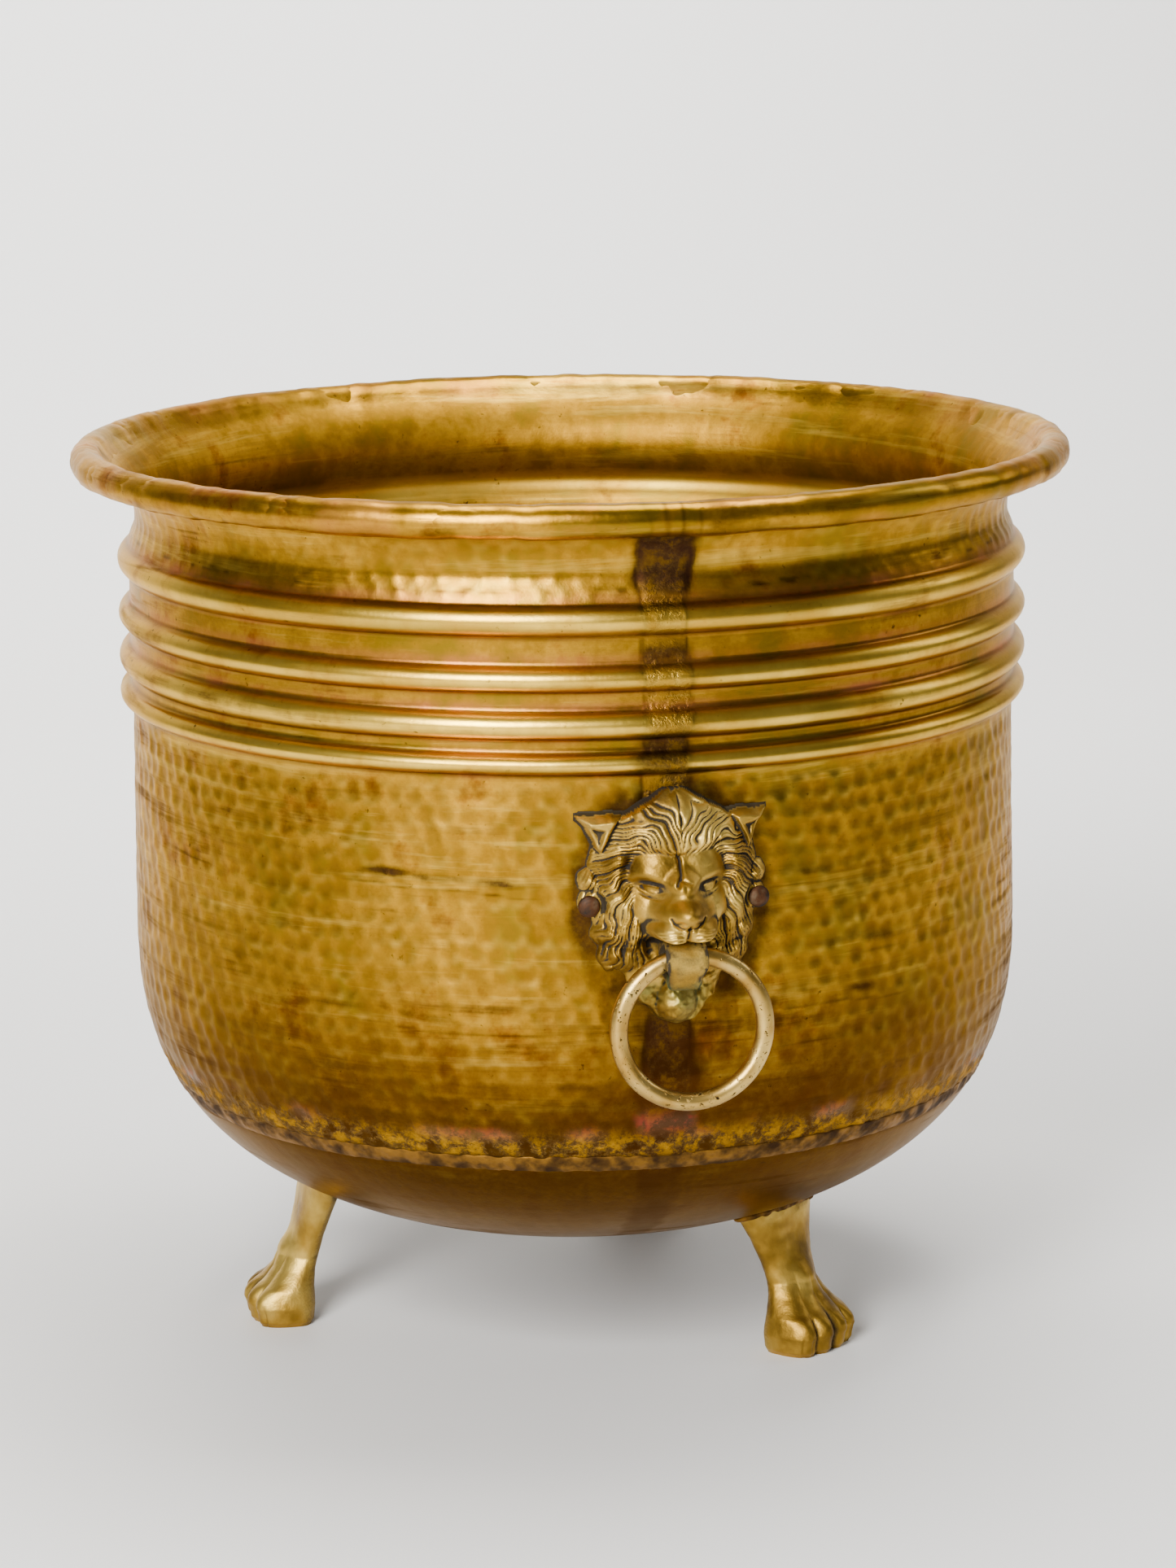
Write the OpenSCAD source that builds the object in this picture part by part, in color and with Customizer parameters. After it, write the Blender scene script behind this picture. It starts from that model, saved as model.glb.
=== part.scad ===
/* [Sheet metal] */
// Outside diameter over the rolled rim
rim_d = 460; // [450:1:470]
// Height from the floor to the top of the rim
pot_h = 414; // [410:1:420]
// Thickness of the brass sheet
sheet_t = 1.6; // [1.2:0.1:2]
// Diameter of the rolled rim, over the sheet
roll_d = 16; // [14:0.5:18]
// Smallest outside radius of the neck
neck_r = 201; // [198:0.5:203]
// Outside radius of the belly at its widest
belly_r = 204.9; // [204:0.1:207]
// Outside radius just under the ribs
chest_r = 203.7; // [203:0.1:204.5]

/* [Ribs] */
// Height of each rib's crest above the floor
rib_z = [361, 336, 316, 299.5]; // [295:0.5:365]
// Width of each rib, measured up the wall
rib_h = [13.5, 11.5, 12.4, 10]; // [9:0.1:15]
// How far a rib stands out of the wall
rib_out = 5.2; // [4:0.1:6]
// Outside radius of the flats between the ribs
flat_r = 204.3; // [203.5:0.1:205]

/* [Bowl] */
// Height where the wall starts to curve in
curve_z = 188.6; // [185:0.1:192]
// Drop from there to the bowl's lowest point
bowl_drop = 139.9; // [135:0.1:142]
// Squareness of the bowl's curve, where 2 is an ellipse
bowl_power = 2.49; // [2.3:0.01:2.7]
// Height of the wall's lower edge, where it laps over the bowl
seam_z = 122; // [120:0.5:124]

/* [Lion masks] */
// Height of the rivets that hold a mask
rivet_z = 239; // [236:0.5:242]
// Angle from the middle of a mask to each rivet
rivet_a = 10.2; // [9.8:0.1:10.6]
// Radius of a rivet's shank
rivet_r = 2.45; // [2:0.05:2.6]
// Height of the tongue's bore
hinge_z = 217.5; // [216:0.5:219]
// Distance from the pot's axis to the tongue's bore
hinge_r = 223; // [222:0.5:224]
// Radius of the tongue's bore
bore_r = 6.2; // [6.1:0.1:6.5]
// Width of the tongue
tongue_w = 19.4; // [18:0.1:21]

/* [Rings] */
// Radius of a ring, to the middle of its bar
ring_r = 32; // [31:0.5:33]
// Radius of a ring's bar
ring_bar_r = 4; // [3.5:0.1:4.2]
// How far a ring hangs to one side of the tongue
ring_shift = 3.5; // [0:0.5:3.5]

/* [Feet] */
// Direction each foot points, from the front mask towards the right
foot_a = [40, 156, 270]; // [0:1:360]
// Width of a paw
paw_w = 48; // [42:1:50]
// Distance from the pot's axis to the tips of each foot's middle toes
toe_r = [151, 156, 161]; // [148:1:164]

/* [Hidden] */
SIDES = ["front", "back"];
FEET = ["right_foot", "back_foot", "left_foot"];

$fn = 96;
brass = [0.62, 0.48, 0.17];
dark_brass = [0.46, 0.35, 0.14];
pale_brass = [0.72, 0.60, 0.32];
filler = [0.55, 0.38, 0.20];
iron = [0.20, 0.17, 0.16];

fit_gap = 0.05;
lap_gap = 0.3;
hull_fn = 28;

// Rolled rim: the sheet wraps round a core wire, and the sheet's outside face ends up against the wire.
roll_c = [rim_d / 2 - roll_d / 2, pot_h - roll_d / 2];
core_r = roll_d / 2 - sheet_t;
roll_start = 150;
roll_end = -160;
neck_z = 380;
shoulder_h = 12;
chest_z = 290;
joggle_h = 8;

// Rivets: distances from the pot's axis to the wall's two faces, the head's seat and the burr.
rivet_wall_r = chest_r + (belly_r - chest_r) * (chest_z - rivet_z) / (chest_z - curve_z);
rivet_inner_r = rivet_wall_r - sheet_t;
rivet_seat_r = rivet_wall_r + 5.2;
burr_t = 1.2;
burr_r = 6;
burr_outer_r = rivet_inner_r - 0.15;

// Unit direction of a path at point i, from its two neighbours.
function heading(p, i) =
    let (d = p[min(i + 1, len(p) - 1)] - p[max(i - 1, 0)])
    d / norm(d);

// Point i of a path, moved by d towards the pot's inside.
function inward(p, i, d) =
    let (t = heading(p, i))
    [max(0, p[i][0] - d * t[1]), p[i][1] + d * t[0]];

function last(p) = len(p) - 1;

// Outline of a sheet whose outside face follows the path p.
function skin(p, t) = concat(p, [for (i = [last(p):-1:0]) inward(p, i, t)]);

function ramp(u) = (1 - cos(180 * min(1, max(0, u)))) / 2;

function bezier(a, b, c, d, u) =
    a * pow(1 - u, 3) + 3 * b * u * pow(1 - u, 2) + 3 * c * u * u * (1 - u) + d * pow(u, 3);

// Point on the bowl's outside, with a = 0 at the lowest point and a = 90 at the belly.
function bowl_point(a) =
    [belly_r * pow(sin(a), 2 / bowl_power), curve_z - bowl_drop * pow(cos(a), 2 / bowl_power)];

function rib_bump(z, i) =
    let (u = 2 * (z - rib_z[i]) / rib_h[i])
    abs(u) < 1 ? rib_out * pow(1 - u * u, 0.75) : 0;

// Outside radius of the ribbed part of the wall.
function ribbed_r(z) =
    flat_r - (flat_r - neck_r) * ramp((z - neck_z + shoulder_h) / shoulder_h)
    - (flat_r - chest_r) * ramp((chest_z + 8 - z) / 8)
    + max([for (i = [0:3]) rib_bump(z, i)]);

flare_end = roll_c + core_r * [cos(roll_start), sin(roll_start)];
flare_in = [sin(roll_start), -cos(roll_start)];

wall_path = concat(
    [for (a = [63:3:90]) bowl_point(a)],
    [for (z = [chest_z:1.25:neck_z]) [ribbed_r(z), z]],
    [for (u = [0.1:0.1:0.9])
        bezier([neck_r, neck_z + 1], [neck_r, neck_z + 15], flare_end - 10 * flare_in, flare_end, u)],
    [for (a = [roll_start:-10:roll_end]) roll_c + core_r * [cos(a), sin(a)]]);

bowl_path = [for (a = [0:3:72]) bowl_point(a)];

// The bowl's upper edge steps in by one sheet, so that it fits inside the wall.
function step_in(z) = (sheet_t + lap_gap) * ramp((z - seam_z + joggle_h) / joggle_h);

bowl_outside = [for (i = [0:last(bowl_path)]) inward(bowl_path, i, step_in(bowl_path[i][1]))];

// Solid body of revolution inside the wall's outside face, which the masks are cut by.
module wall_space() {
    rotate_extrude() polygon(concat(
        [[0, bowl_point(63)[1]]],
        [for (a = [63:3:90]) bowl_point(a)],
        [[chest_r, chest_z], [0, chest_z]]));
}

// Solid body of revolution inside the bowl's outside face, which the feet are cut by.
module bowl_space() {
    rotate_extrude() polygon(concat(bowl_path, [[0, bowl_path[last(bowl_path)][1]]]));
}

// Moves its children to the front of the pot at angle a, with +Z turned to point outwards.
module on_wall(a, r, z) {
    rotate([0, 0, a]) translate([0, -r, z]) rotate([90, 0, 0]) children();
}

module rivet_holes() {
    for (turn = [0, 180])
        for (a = [-rivet_a, rivet_a])
            on_wall(turn + a, rivet_inner_r - 5, rivet_z)
                cylinder(r = rivet_r + fit_gap, h = 30);
}

module wall() {
    color(brass) difference() {
        rotate_extrude() polygon(skin(wall_path, sheet_t));
        cylinder(r = rim_d / 2, h = seam_z);
        rivet_holes();
    }
}

module bowl() {
    color(dark_brass) rotate_extrude() polygon(skin(bowl_outside, sheet_t));
}

module rim_wire() {
    color(iron) rotate_extrude() translate(roll_c) circle(r = core_r - fit_gap, $fn = 32);
}

// Bead that fills the step under the wall's lower edge.
module bowl_braze() {
    bead_z = [for (i = [0:8]) seam_z - joggle_h * i / 8];
    color(filler) difference() {
        rotate_extrude() polygon(concat(
            [for (z = bead_z) [bowl_r_at(z) + 0.5 * sin(180 * (seam_z - z) / joggle_h), z]],
            [[bowl_r_at(bead_z[8]) - 6, bead_z[8]], [bowl_r_at(bead_z[8]) - 6, seam_z]]));
        rotate_extrude() polygon(concat(bowl_outside, [[0, bowl_outside[last(bowl_outside)][1]]]));
    }
}

// Outside radius of the bowl's curve at height z.
function bowl_r_at(z) = belly_r * pow(1 - pow((curve_z - z) / bowl_drop, bowl_power), 1 / bowl_power);

module ball(x, y, z, r) {
    translate([x, y, z]) sphere(r = r, $fn = hull_fn);
}

// Flat round pad that faces outwards, from radius 192 out to the distance out_r.
module pad(z, r, out_r) {
    on_wall(0, 192, z) cylinder(r = r, h = out_r - 192, $fn = hull_fn);
}

// Bar across the tongue.
module tongue_bar(y, z, r, w) {
    translate([-w / 2, y, z]) rotate([0, 90, 0]) cylinder(r = r, h = w, $fn = hull_fn);
}

module mane() {
    hull() {
        pad(240, 40, 208);
        pad(256, 30, 214);
        pad(214, 26, 212);
        pad(280, 9, 210);
    }
}

module face() {
    hull() {
        ball(0, -205, 250, 24);
        ball(0, -213, 240, 18);
    }
}

module muzzle() {
    hull() {
        ball(0, -215, 241, 13);
        ball(7, -227.5, 234.5, 10.5);
        ball(-7, -227.5, 234.5, 10.5);
        ball(0, -233.5, 239, 6.5);
    }
}

module ear(side) {
    hull() {
        ball(side * 29, -207, 262, 6);
        ball(side * 33, -209, 254, 4);
        ball(side * 39.5, -206, 275, 1.8);
    }
}

module chin() {
    hull() {
        ball(0, -203, 204, 13);
        ball(0, -205, 194.5, 9);
    }
}

module tongue() {
    hull() {
        tongue_bar(-hinge_r, hinge_z, bore_r + 2.6, tongue_w);
        tongue_bar(-hinge_r + 1.5, hinge_z - 7, 6.8, tongue_w);
        tongue_bar(-hinge_r + 15, hinge_z - 3, 9, tongue_w);
    }
}

module mask() {
    color(dark_brass) difference() {
        union() {
            mane();
            face();
            muzzle();
            ear(1);
            ear(-1);
            chin();
            tongue();
        }
        wall_space();
        on_wall(0, 0, rivet_z) cylinder(r = 60, h = 192);
        translate([-rim_d / 2, -hinge_r, hinge_z]) rotate([0, 90, 0]) cylinder(r = bore_r, h = rim_d);
        for (a = [-rivet_a, rivet_a]) {
            on_wall(a, rivet_inner_r, rivet_z) cylinder(r = rivet_r + fit_gap, h = 30);
            on_wall(a, rivet_seat_r, rivet_z) cylinder(r = 5.4, h = 20);
        }
    }
}

// Ring with its bar through the tongue, hanging to one side by ring_shift. The bar sags by sag across the bore.
module ring() {
    far_x = tongue_w / 2 + ring_shift;
    sag = ring_r - sqrt(ring_r * ring_r - far_x * far_x);
    color(pale_brass) translate([ring_shift, -hinge_r, hinge_z + sag / 2 - ring_r]) rotate([90, 0, 0])
        rotate_extrude() translate([ring_r, 0]) circle(r = ring_bar_r, $fn = 32);
}

// Rivet along +Z from its peened end at z = 0, with a domed head.
module rivet() {
    grip = rivet_seat_r - burr_outer_r + burr_t;
    color(iron) rotate_extrude() polygon(concat(
        [for (a = [-90:15:0]) [3.9 * cos(a), 1.6 * sin(a)]],
        [[rivet_r, 0], [rivet_r, grip]],
        [for (a = [0:15:90]) [4.8 * cos(a), grip + 2.4 * sin(a)]]));
}

module burr() {
    color(pale_brass) difference() {
        cylinder(r = burr_r, h = burr_t);
        translate([0, 0, -1]) cylinder(r = rivet_r + fit_gap, h = burr_t + 2);
    }
}

// Level slice of a foot's leg: a thin oval of the given width and depth.
module slice(r, z, w, d) {
    translate([0, -r, z]) scale([w / 2, d / 2, 1]) cylinder(r = 1, h = 2, $fn = hull_fn);
}

module leg_top(tip, grow) {
    hull() {
        slice(tip - 41, 78, 68 + 2 * grow, 26 + 2 * grow);
        slice(tip - 32, 46, 38 + 2 * grow, 20 + 2 * grow);
    }
}

module toe(i, foot_tip) {
    x = (i - 1.5) * paw_w * 0.25;
    tip = foot_tip - 2.2 * abs(i - 1.5);
    hull() {
        ball(x, 6.5 - tip, 6.3, 6.3);
        ball(x * 0.6, 22 - tip, 17, 6.5);
        translate([x, 8 - tip, 0]) cylinder(r = 5.6, h = 3, $fn = hull_fn);
    }
}

module foot(tip) {
    color(brass) difference() {
        union() {
            leg_top(tip, 0);
            hull() {
                slice(tip - 32, 46, 38, 20);
                slice(tip - 27, 28, 29, 19);
            }
            hull() {
                slice(tip - 27, 28, 29, 19);
                slice(tip - 20, 10, paw_w - 5, 32);
                slice(tip - 20, 0, paw_w - 5, 32);
            }
            for (i = [0:3]) toe(i, tip);
        }
        bowl_space();
    }
}

// Filler metal round the top of a leg, in the corner between the leg and the bowl.
module foot_braze(tip) {
    color(filler) difference() {
        intersection() {
            leg_top(tip, 2.4);
            translate([0, 0, -3.5]) bowl_space();
        }
        bowl_space();
        leg_top(tip, 0);
    }
}

wall();
bowl();
rim_wire();
bowl_braze();
for (i = [0:1]) {
    rotate(180 * i) mask();
    rotate(180 * i) ring();
    for (side = [["left", -1], ["right", 1]]) {
        on_wall(180 * i + side[1] * rivet_a, burr_outer_r - burr_t, rivet_z) rivet();
        on_wall(180 * i + side[1] * rivet_a, burr_outer_r - burr_t, rivet_z) burr();
    }
}
for (i = [0:2]) {
    rotate(foot_a[i]) foot(toe_r[i]);
    rotate(foot_a[i]) foot_braze(toe_r[i]);
}
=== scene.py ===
import math

import bpy
import numpy as np
from mathutils import Matrix, Vector


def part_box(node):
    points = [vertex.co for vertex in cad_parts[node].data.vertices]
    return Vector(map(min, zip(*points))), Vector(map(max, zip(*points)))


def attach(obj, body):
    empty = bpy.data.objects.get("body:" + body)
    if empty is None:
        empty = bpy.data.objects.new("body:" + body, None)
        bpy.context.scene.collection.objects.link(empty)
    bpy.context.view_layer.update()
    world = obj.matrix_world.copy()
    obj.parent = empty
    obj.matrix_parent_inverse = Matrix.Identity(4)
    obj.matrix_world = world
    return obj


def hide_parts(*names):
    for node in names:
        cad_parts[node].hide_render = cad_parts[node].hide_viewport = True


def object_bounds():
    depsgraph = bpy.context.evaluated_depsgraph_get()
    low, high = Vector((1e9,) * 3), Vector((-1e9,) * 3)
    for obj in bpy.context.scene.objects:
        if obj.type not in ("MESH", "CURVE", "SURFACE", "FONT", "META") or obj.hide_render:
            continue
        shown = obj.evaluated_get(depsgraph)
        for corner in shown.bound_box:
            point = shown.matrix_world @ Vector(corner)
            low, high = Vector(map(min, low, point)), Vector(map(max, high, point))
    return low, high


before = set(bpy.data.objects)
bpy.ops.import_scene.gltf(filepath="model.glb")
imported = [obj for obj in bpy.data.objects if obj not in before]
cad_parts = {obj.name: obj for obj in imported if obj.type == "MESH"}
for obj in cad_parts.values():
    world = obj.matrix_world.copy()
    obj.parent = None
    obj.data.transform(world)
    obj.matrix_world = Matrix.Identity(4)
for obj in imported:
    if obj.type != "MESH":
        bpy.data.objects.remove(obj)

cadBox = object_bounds()
mm = 0.001
print("frame loaded:", len(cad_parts), "nodes")


def toLinear(hexColour):
    channels = [int(hexColour[i:i + 2], 16) / 255 for i in (1, 3, 5)]
    return [c / 12.92 if c <= 0.04045 else ((c + 0.055) / 1.055) ** 2.4 for c in channels] + [1.0]


def addNode(tree, kind, settings=None, links=None):
    node = tree.nodes.new("ShaderNode" + kind)
    for key, value in (settings or {}).items():
        if key == "stops":   # colour ramp stops: position, sRGB hex
            ramp = node.color_ramp
            while len(ramp.elements) < len(value):
                ramp.elements.new(0.5)
            for element, (position, colour) in zip(ramp.elements, value):
                element.position = position
                element.color = toLinear(colour)
        elif isinstance(key, int) or key in node.inputs:
            node.inputs[key].default_value = value
        else:
            setattr(node, key, value)
    for key, source in (links or {}).items():
        tree.links.new(source, node.inputs[key])
    return node


def newMaterial(name):
    material = bpy.data.materials.new(name)
    material.use_nodes = True
    material.node_tree.nodes.clear()
    return material, material.node_tree


def smoothStep(low, high, value):
    t = np.clip((value - low) / (high - low), 0, 1)
    return t * t * (3 - 2 * t)


def bell(value, width):
    return np.exp(-(value / width) ** 2)


def cellRandom(cell, seed):
    # whole-number lattice points to repeatable values from 0 to 1
    n = cell[..., 0] * 374761393 + cell[..., 1] * 668265263 + cell[..., 2] * 2147483647 + seed * 974634777
    n = (n ^ (n >> 13)) * 1274126177
    n = n & 0xFFFFFFFF
    n = ((n ^ (n >> 16)) * 2246822519) & 0xFFFFFFFF
    return ((n ^ (n >> 15)) & 0xFFFFFF) / 0xFFFFFF


def noiseField(points, size, seed=1, layers=1):
    # smooth random field from -1 to 1 with lumps of the given size, in the units of points
    total = np.zeros(points.shape[:-1])
    weight = 0
    for layer in range(layers):
        scaled = points / (size * 0.5 ** layer)
        cell = np.floor(scaled).astype(np.int64)
        f = scaled - cell
        f = f * f * (3 - 2 * f)
        value = np.zeros(points.shape[:-1])
        for corner in range(8):
            step = np.array([corner & 1, (corner >> 1) & 1, corner >> 2])
            share = np.prod(np.where(step == 1, f, 1 - f), axis=-1)
            value += share * cellRandom(cell + step, seed + layer * 17)
        total += (value * 2 - 1) * 0.5 ** layer
        weight += 0.5 ** layer
    return total / weight


def meshPiece(name, points, faces, layers=None, smooth=True):
    # points in millimetres, faces as an array of four corners each (or a list of arrays)
    mesh = bpy.data.meshes.new(name)
    faceSets = faces if isinstance(faces, list) else [faces]
    corners = np.concatenate([f.ravel() for f in faceSets])
    sizes = np.concatenate([np.full(len(f), f.shape[1]) for f in faceSets])
    starts = np.concatenate([[0], np.cumsum(sizes)[:-1]])
    mesh.vertices.add(len(points))
    mesh.vertices.foreach_set("co", (np.asarray(points) * mm).astype(np.float32).ravel())
    mesh.loops.add(len(corners))
    mesh.loops.foreach_set("vertex_index", corners.astype(np.int32))
    mesh.polygons.add(len(sizes))
    mesh.polygons.foreach_set("loop_start", starts.astype(np.int32))
    mesh.update(calc_edges=True)
    mesh.validate()
    mesh.polygons.foreach_set("use_smooth", np.full(len(mesh.polygons), smooth))
    for layer, values in (layers or {}).items():
        attribute = mesh.attributes.new(layer, "FLOAT", "POINT")
        attribute.data.foreach_set("value", np.asarray(values, np.float32).ravel())
    piece = bpy.data.objects.new(name, mesh)
    bpy.context.scene.collection.objects.link(piece)
    return piece


def gridFaces(rows, columns, wrapRows=False, wrapColumns=True):
    # quads of a grid of points, row by row; wrapped ways close on themselves
    i = np.arange(rows if wrapRows else rows - 1)[:, None]
    j = np.arange(columns if wrapColumns else columns - 1)[None, :]
    iNext, jNext = (i + 1) % rows, (j + 1) % columns
    quads = np.stack(np.broadcast_arrays(i * columns + j, i * columns + jNext,
                                         iNext * columns + jNext, iNext * columns + j), -1)
    return quads.reshape(-1, 4)


def place(piece, body, slot, material, *nodes):
    piece.data.materials.append(material)
    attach(piece, body)
    if nodes:
        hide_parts(*nodes)
    return piece


# Hand-hammered sheet brass: rolled, struck cold and left to age. Bright gold on the lands that hands and
# cloths rub, orange-brown in each hammer mark with painted shade along its upper lip and a painted
# highlight on its lower crest and on the rib tops, painted shade in the rib grooves and low on the pot,
# plum-brown oxide streaks that follow the rolling, and heat stains round the brazed seam and the castings.
def makeHammeredBrass():
    look = {
        # the last colour on the next line is rubbed wear and also a painted highlight on the marks' lower
        # crests and the rib tops
        "land": "#b5851a", "honey": "#976c10", "olive": "#82640f", "amber": "#8f560c", "bright": "#e8bf48",
        # the second colour on the next line is painted shade under the marks' upper lips and in the rib
        # grooves, and also the seam's dark joint lines
        "mark": "#553404", "lip": "#281802", "umber": "#2e1a09", "plum": "#2e1a13", "copper": "#b4683c",
        # the first colour on the next line is painted shade, darkening the wall and bowl towards the bottom
        "soot": "#432406", "flux": "#6a5430", "primer": "#7a2218",
        "streakHeight": 10.0,   # mm, height of an oxide streak
        "speck": 3.8,           # mm, spacing of the oxide specks
        "crumb": 9.0,           # mm, size of the clumps of filler crumbs
        "print": 2.8,           # mm, grain of the hammer face, drawn coarser than the real 0.2 to show
        "mottle": 29.4,         # mm, patches that break up every tint
        "drift": 111.1,         # mm, broad changes of colour
    }
    material, tree = newMaterial("handHammeredBrass")
    objectPlace = addNode(tree, "TexCoord").outputs["Object"]
    where = {}
    for layer in ("blow", "lip", "crest", "stain", "redden", "soot", "spelter", "primer", "inside"):
        where[layer] = addNode(tree, "Attribute", {"attribute_name": layer}).outputs["Fac"]
    noise = {}
    grit = {"drift": 0.6, "mottle": 0.65, "print": 0.7, "crumb": 0.75, "speck": 0.6}
    for name, roughness in grit.items():
        settings = {"Scale": 1000 / look[name], "Detail": 5.0, "Roughness": roughness}
        noise[name] = addNode(tree, "TexNoise", settings, {"Vector": objectPlace}).outputs["Fac"]
    streakPlace = addNode(tree, "Mapping", {"Scale": (6, 6, 1000 / look["streakHeight"])},
                          {"Vector": objectPlace}).outputs["Vector"]
    settings = {"Scale": 1.0, "Detail": 6.0, "Roughness": 0.68, "Distortion": 0.3}
    noise["streak"] = addNode(tree, "TexNoise", settings, {"Vector": streakPlace}).outputs["Fac"]

    # broad drift between olive, honey, land and amber, with the hammer face's grain in it
    grain = addNode(tree, "MapRange", {"To Min": 0.40, "To Max": 0.62}, {"Value": noise["print"]})
    grain = addNode(tree, "Math", {"operation": "MULTIPLY"}, {0: noise["drift"], 1: grain.outputs["Result"]})
    ground = addNode(tree, "Math", {"operation": "MULTIPLY_ADD", 1: 0.55},
                     {0: noise["mottle"], 2: grain.outputs[0]})
    colour = addNode(tree, "ValToRGB", {"stops": [(0.42, look["olive"]), (0.50, look["honey"]),
                                                  (0.57, look["land"]), (0.66, look["amber"])]},
                     {"Fac": ground.outputs[0]}).outputs["Color"]

    # places that follow from the noise: rubbed bands, oxide streaks in some parts, specks
    for name, source, low, high in (("rubbed", "streak", 0.45, 0.32), ("oxide", "streak", 0.52, 0.66),
                                    ("specks", "speck", 0.66, 0.72)):
        where[name] = addNode(tree, "MapRange", {"From Min": low, "From Max": high},
                              {"Value": noise[source]}).outputs["Result"]
    someParts = addNode(tree, "MapRange", {"From Min": 0.44, "From Max": 0.60}, {"Value": noise["drift"]})
    where["oxide"] = addNode(tree, "Math", {"operation": "MULTIPLY"},
                             {0: where["oxide"], 1: someParts.outputs["Result"]}).outputs[0]
    # heat stains, and the painted shade low on the pot, spread unevenly: a brown halo first, then its
    # plum-black heart
    for name, layer, mottled, low, high in (
            ("halo", "stain", 0.8, 0.50, 0.90),
            ("heart", "stain", 0.8, 0.78, 1.15),
            ("sooty", "soot", 0.6, 0.34, 1.00)):
        spread = addNode(tree, "Math", {"operation": "MULTIPLY_ADD", 1: mottled},
                         {0: noise["mottle"], 2: where[layer]})
        where[name] = addNode(tree, "MapRange", {"From Min": low, "From Max": high},
                              {"Value": spread.outputs[0]}).outputs["Result"]
    # each tint: colour, place, the noise that breaks it up between two levels, and how much shows at each
    for tint, layer, breaker, low, high, least, most in (
            ("bright", "rubbed", "drift", 0.40, 0.60, 0.35, 0.65),
            ("mark", "blow", "mottle", 0.32, 0.66, 0.42, 0.92),
            # painted shade under the marks' upper lips and in the rib grooves, with the seam's joint lines
            ("lip", "lip", "mottle", 0.35, 0.60, 0.65, 1.00),
            # painted highlight on the marks' lower crests and the rib tops
            ("bright", "crest", "mottle", 0.62, 0.40, 0.45, 1.00),
            ("plum", "oxide", "mottle", 0.38, 0.56, 0.25, 0.90),
            ("copper", "redden", "mottle", 0.36, 0.60, 0.15, 1.00),
            ("umber", "halo", "print", 0.30, 0.65, 0.92, 0.70),
            ("plum", "heart", "print", 0.30, 0.65, 0.92, 0.75),
            # painted shade low on the wall and over the bowl
            ("soot", "sooty", "print", 0.30, 0.65, 0.97, 0.88),
            ("umber", "specks", "drift", 0.40, 0.55, 0.20, 0.85),
            ("primer", "primer", "crumb", 0.46, 0.56, 0.00, 0.85)):
        settings = {"From Min": low, "From Max": high, "To Min": least, "To Max": most}
        broken = addNode(tree, "MapRange", settings, {"Value": noise[breaker]})
        amount = addNode(tree, "Math", {"operation": "MULTIPLY"},
                         {0: where[layer], 1: broken.outputs["Result"]})
        colour = addNode(tree, "Mix", {"data_type": "RGBA", 7: toLinear(look[tint])},
                         {0: amount.outputs[0], 6: colour}).outputs[2]

    # crumbs of filler metal and flux along the joints, over everything else
    crumbColour = addNode(tree, "ValToRGB", {"stops": [(0.40, look["umber"]), (0.48, look["flux"]),
                                                       (0.56, look["honey"]), (0.68, look["land"])]},
                          {"Fac": noise["crumb"]})
    thick = addNode(tree, "MapRange", {"From Min": 0.44, "From Max": 0.56, "To Min": 0.25, "To Max": 0.95},
                    {"Value": noise["crumb"]})
    crumbs = addNode(tree, "Math", {"operation": "MULTIPLY"},
                     {0: where["spelter"], 1: thick.outputs["Result"]}).outputs[0]
    colour = addNode(tree, "Mix", {"data_type": "RGBA"},
                     {0: crumbs, 6: colour, 7: crumbColour.outputs["Color"]}).outputs[2]

    # lands are glossy; marks, streaks, stains, crumbs and the unpolished inside are duller
    dull = where["oxide"]
    for layer, weight in ((where["blow"], 0.16), (crumbs, 0.6), (noise["mottle"], 0.4),
                          (where["inside"], 0.5), (where["halo"], 0.3)):
        added = addNode(tree, "Math", {"operation": "MULTIPLY_ADD", 1: weight}, {0: layer, 2: dull})
        dull = added.outputs[0]
    rough = addNode(tree, "MapRange", {"From Min": 0.05, "From Max": 0.95, "To Min": 0.26, "To Max": 0.58},
                    {"Value": dull})
    metal = addNode(tree, "MapRange", {"To Min": 1.0, "To Max": 0.4}, {"Value": where["primer"]})
    printed = addNode(tree, "Bump", {"Strength": 0.16, "Distance": 0.0006}, {"Height": noise["print"]})
    crumbHeight = addNode(tree, "Math", {"operation": "MULTIPLY"}, {0: crumbs, 1: noise["crumb"]})
    crumbBump = addNode(tree, "Bump", {"Strength": 0.7, "Distance": 0.0014},
                        {"Height": crumbHeight.outputs[0], "Normal": printed.outputs["Normal"]})
    shader = addNode(tree, "BsdfPrincipled", {"Specular Tint": toLinear("#f6e4cc")}, {
        "Base Color": colour, "Metallic": metal.outputs["Result"], "Roughness": rough.outputs["Result"],
        "Normal": crumbBump.outputs["Normal"]})
    addNode(tree, "OutputMaterial", {}, {"Surface": shader.outputs["BSDF"]})
    return material
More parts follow.
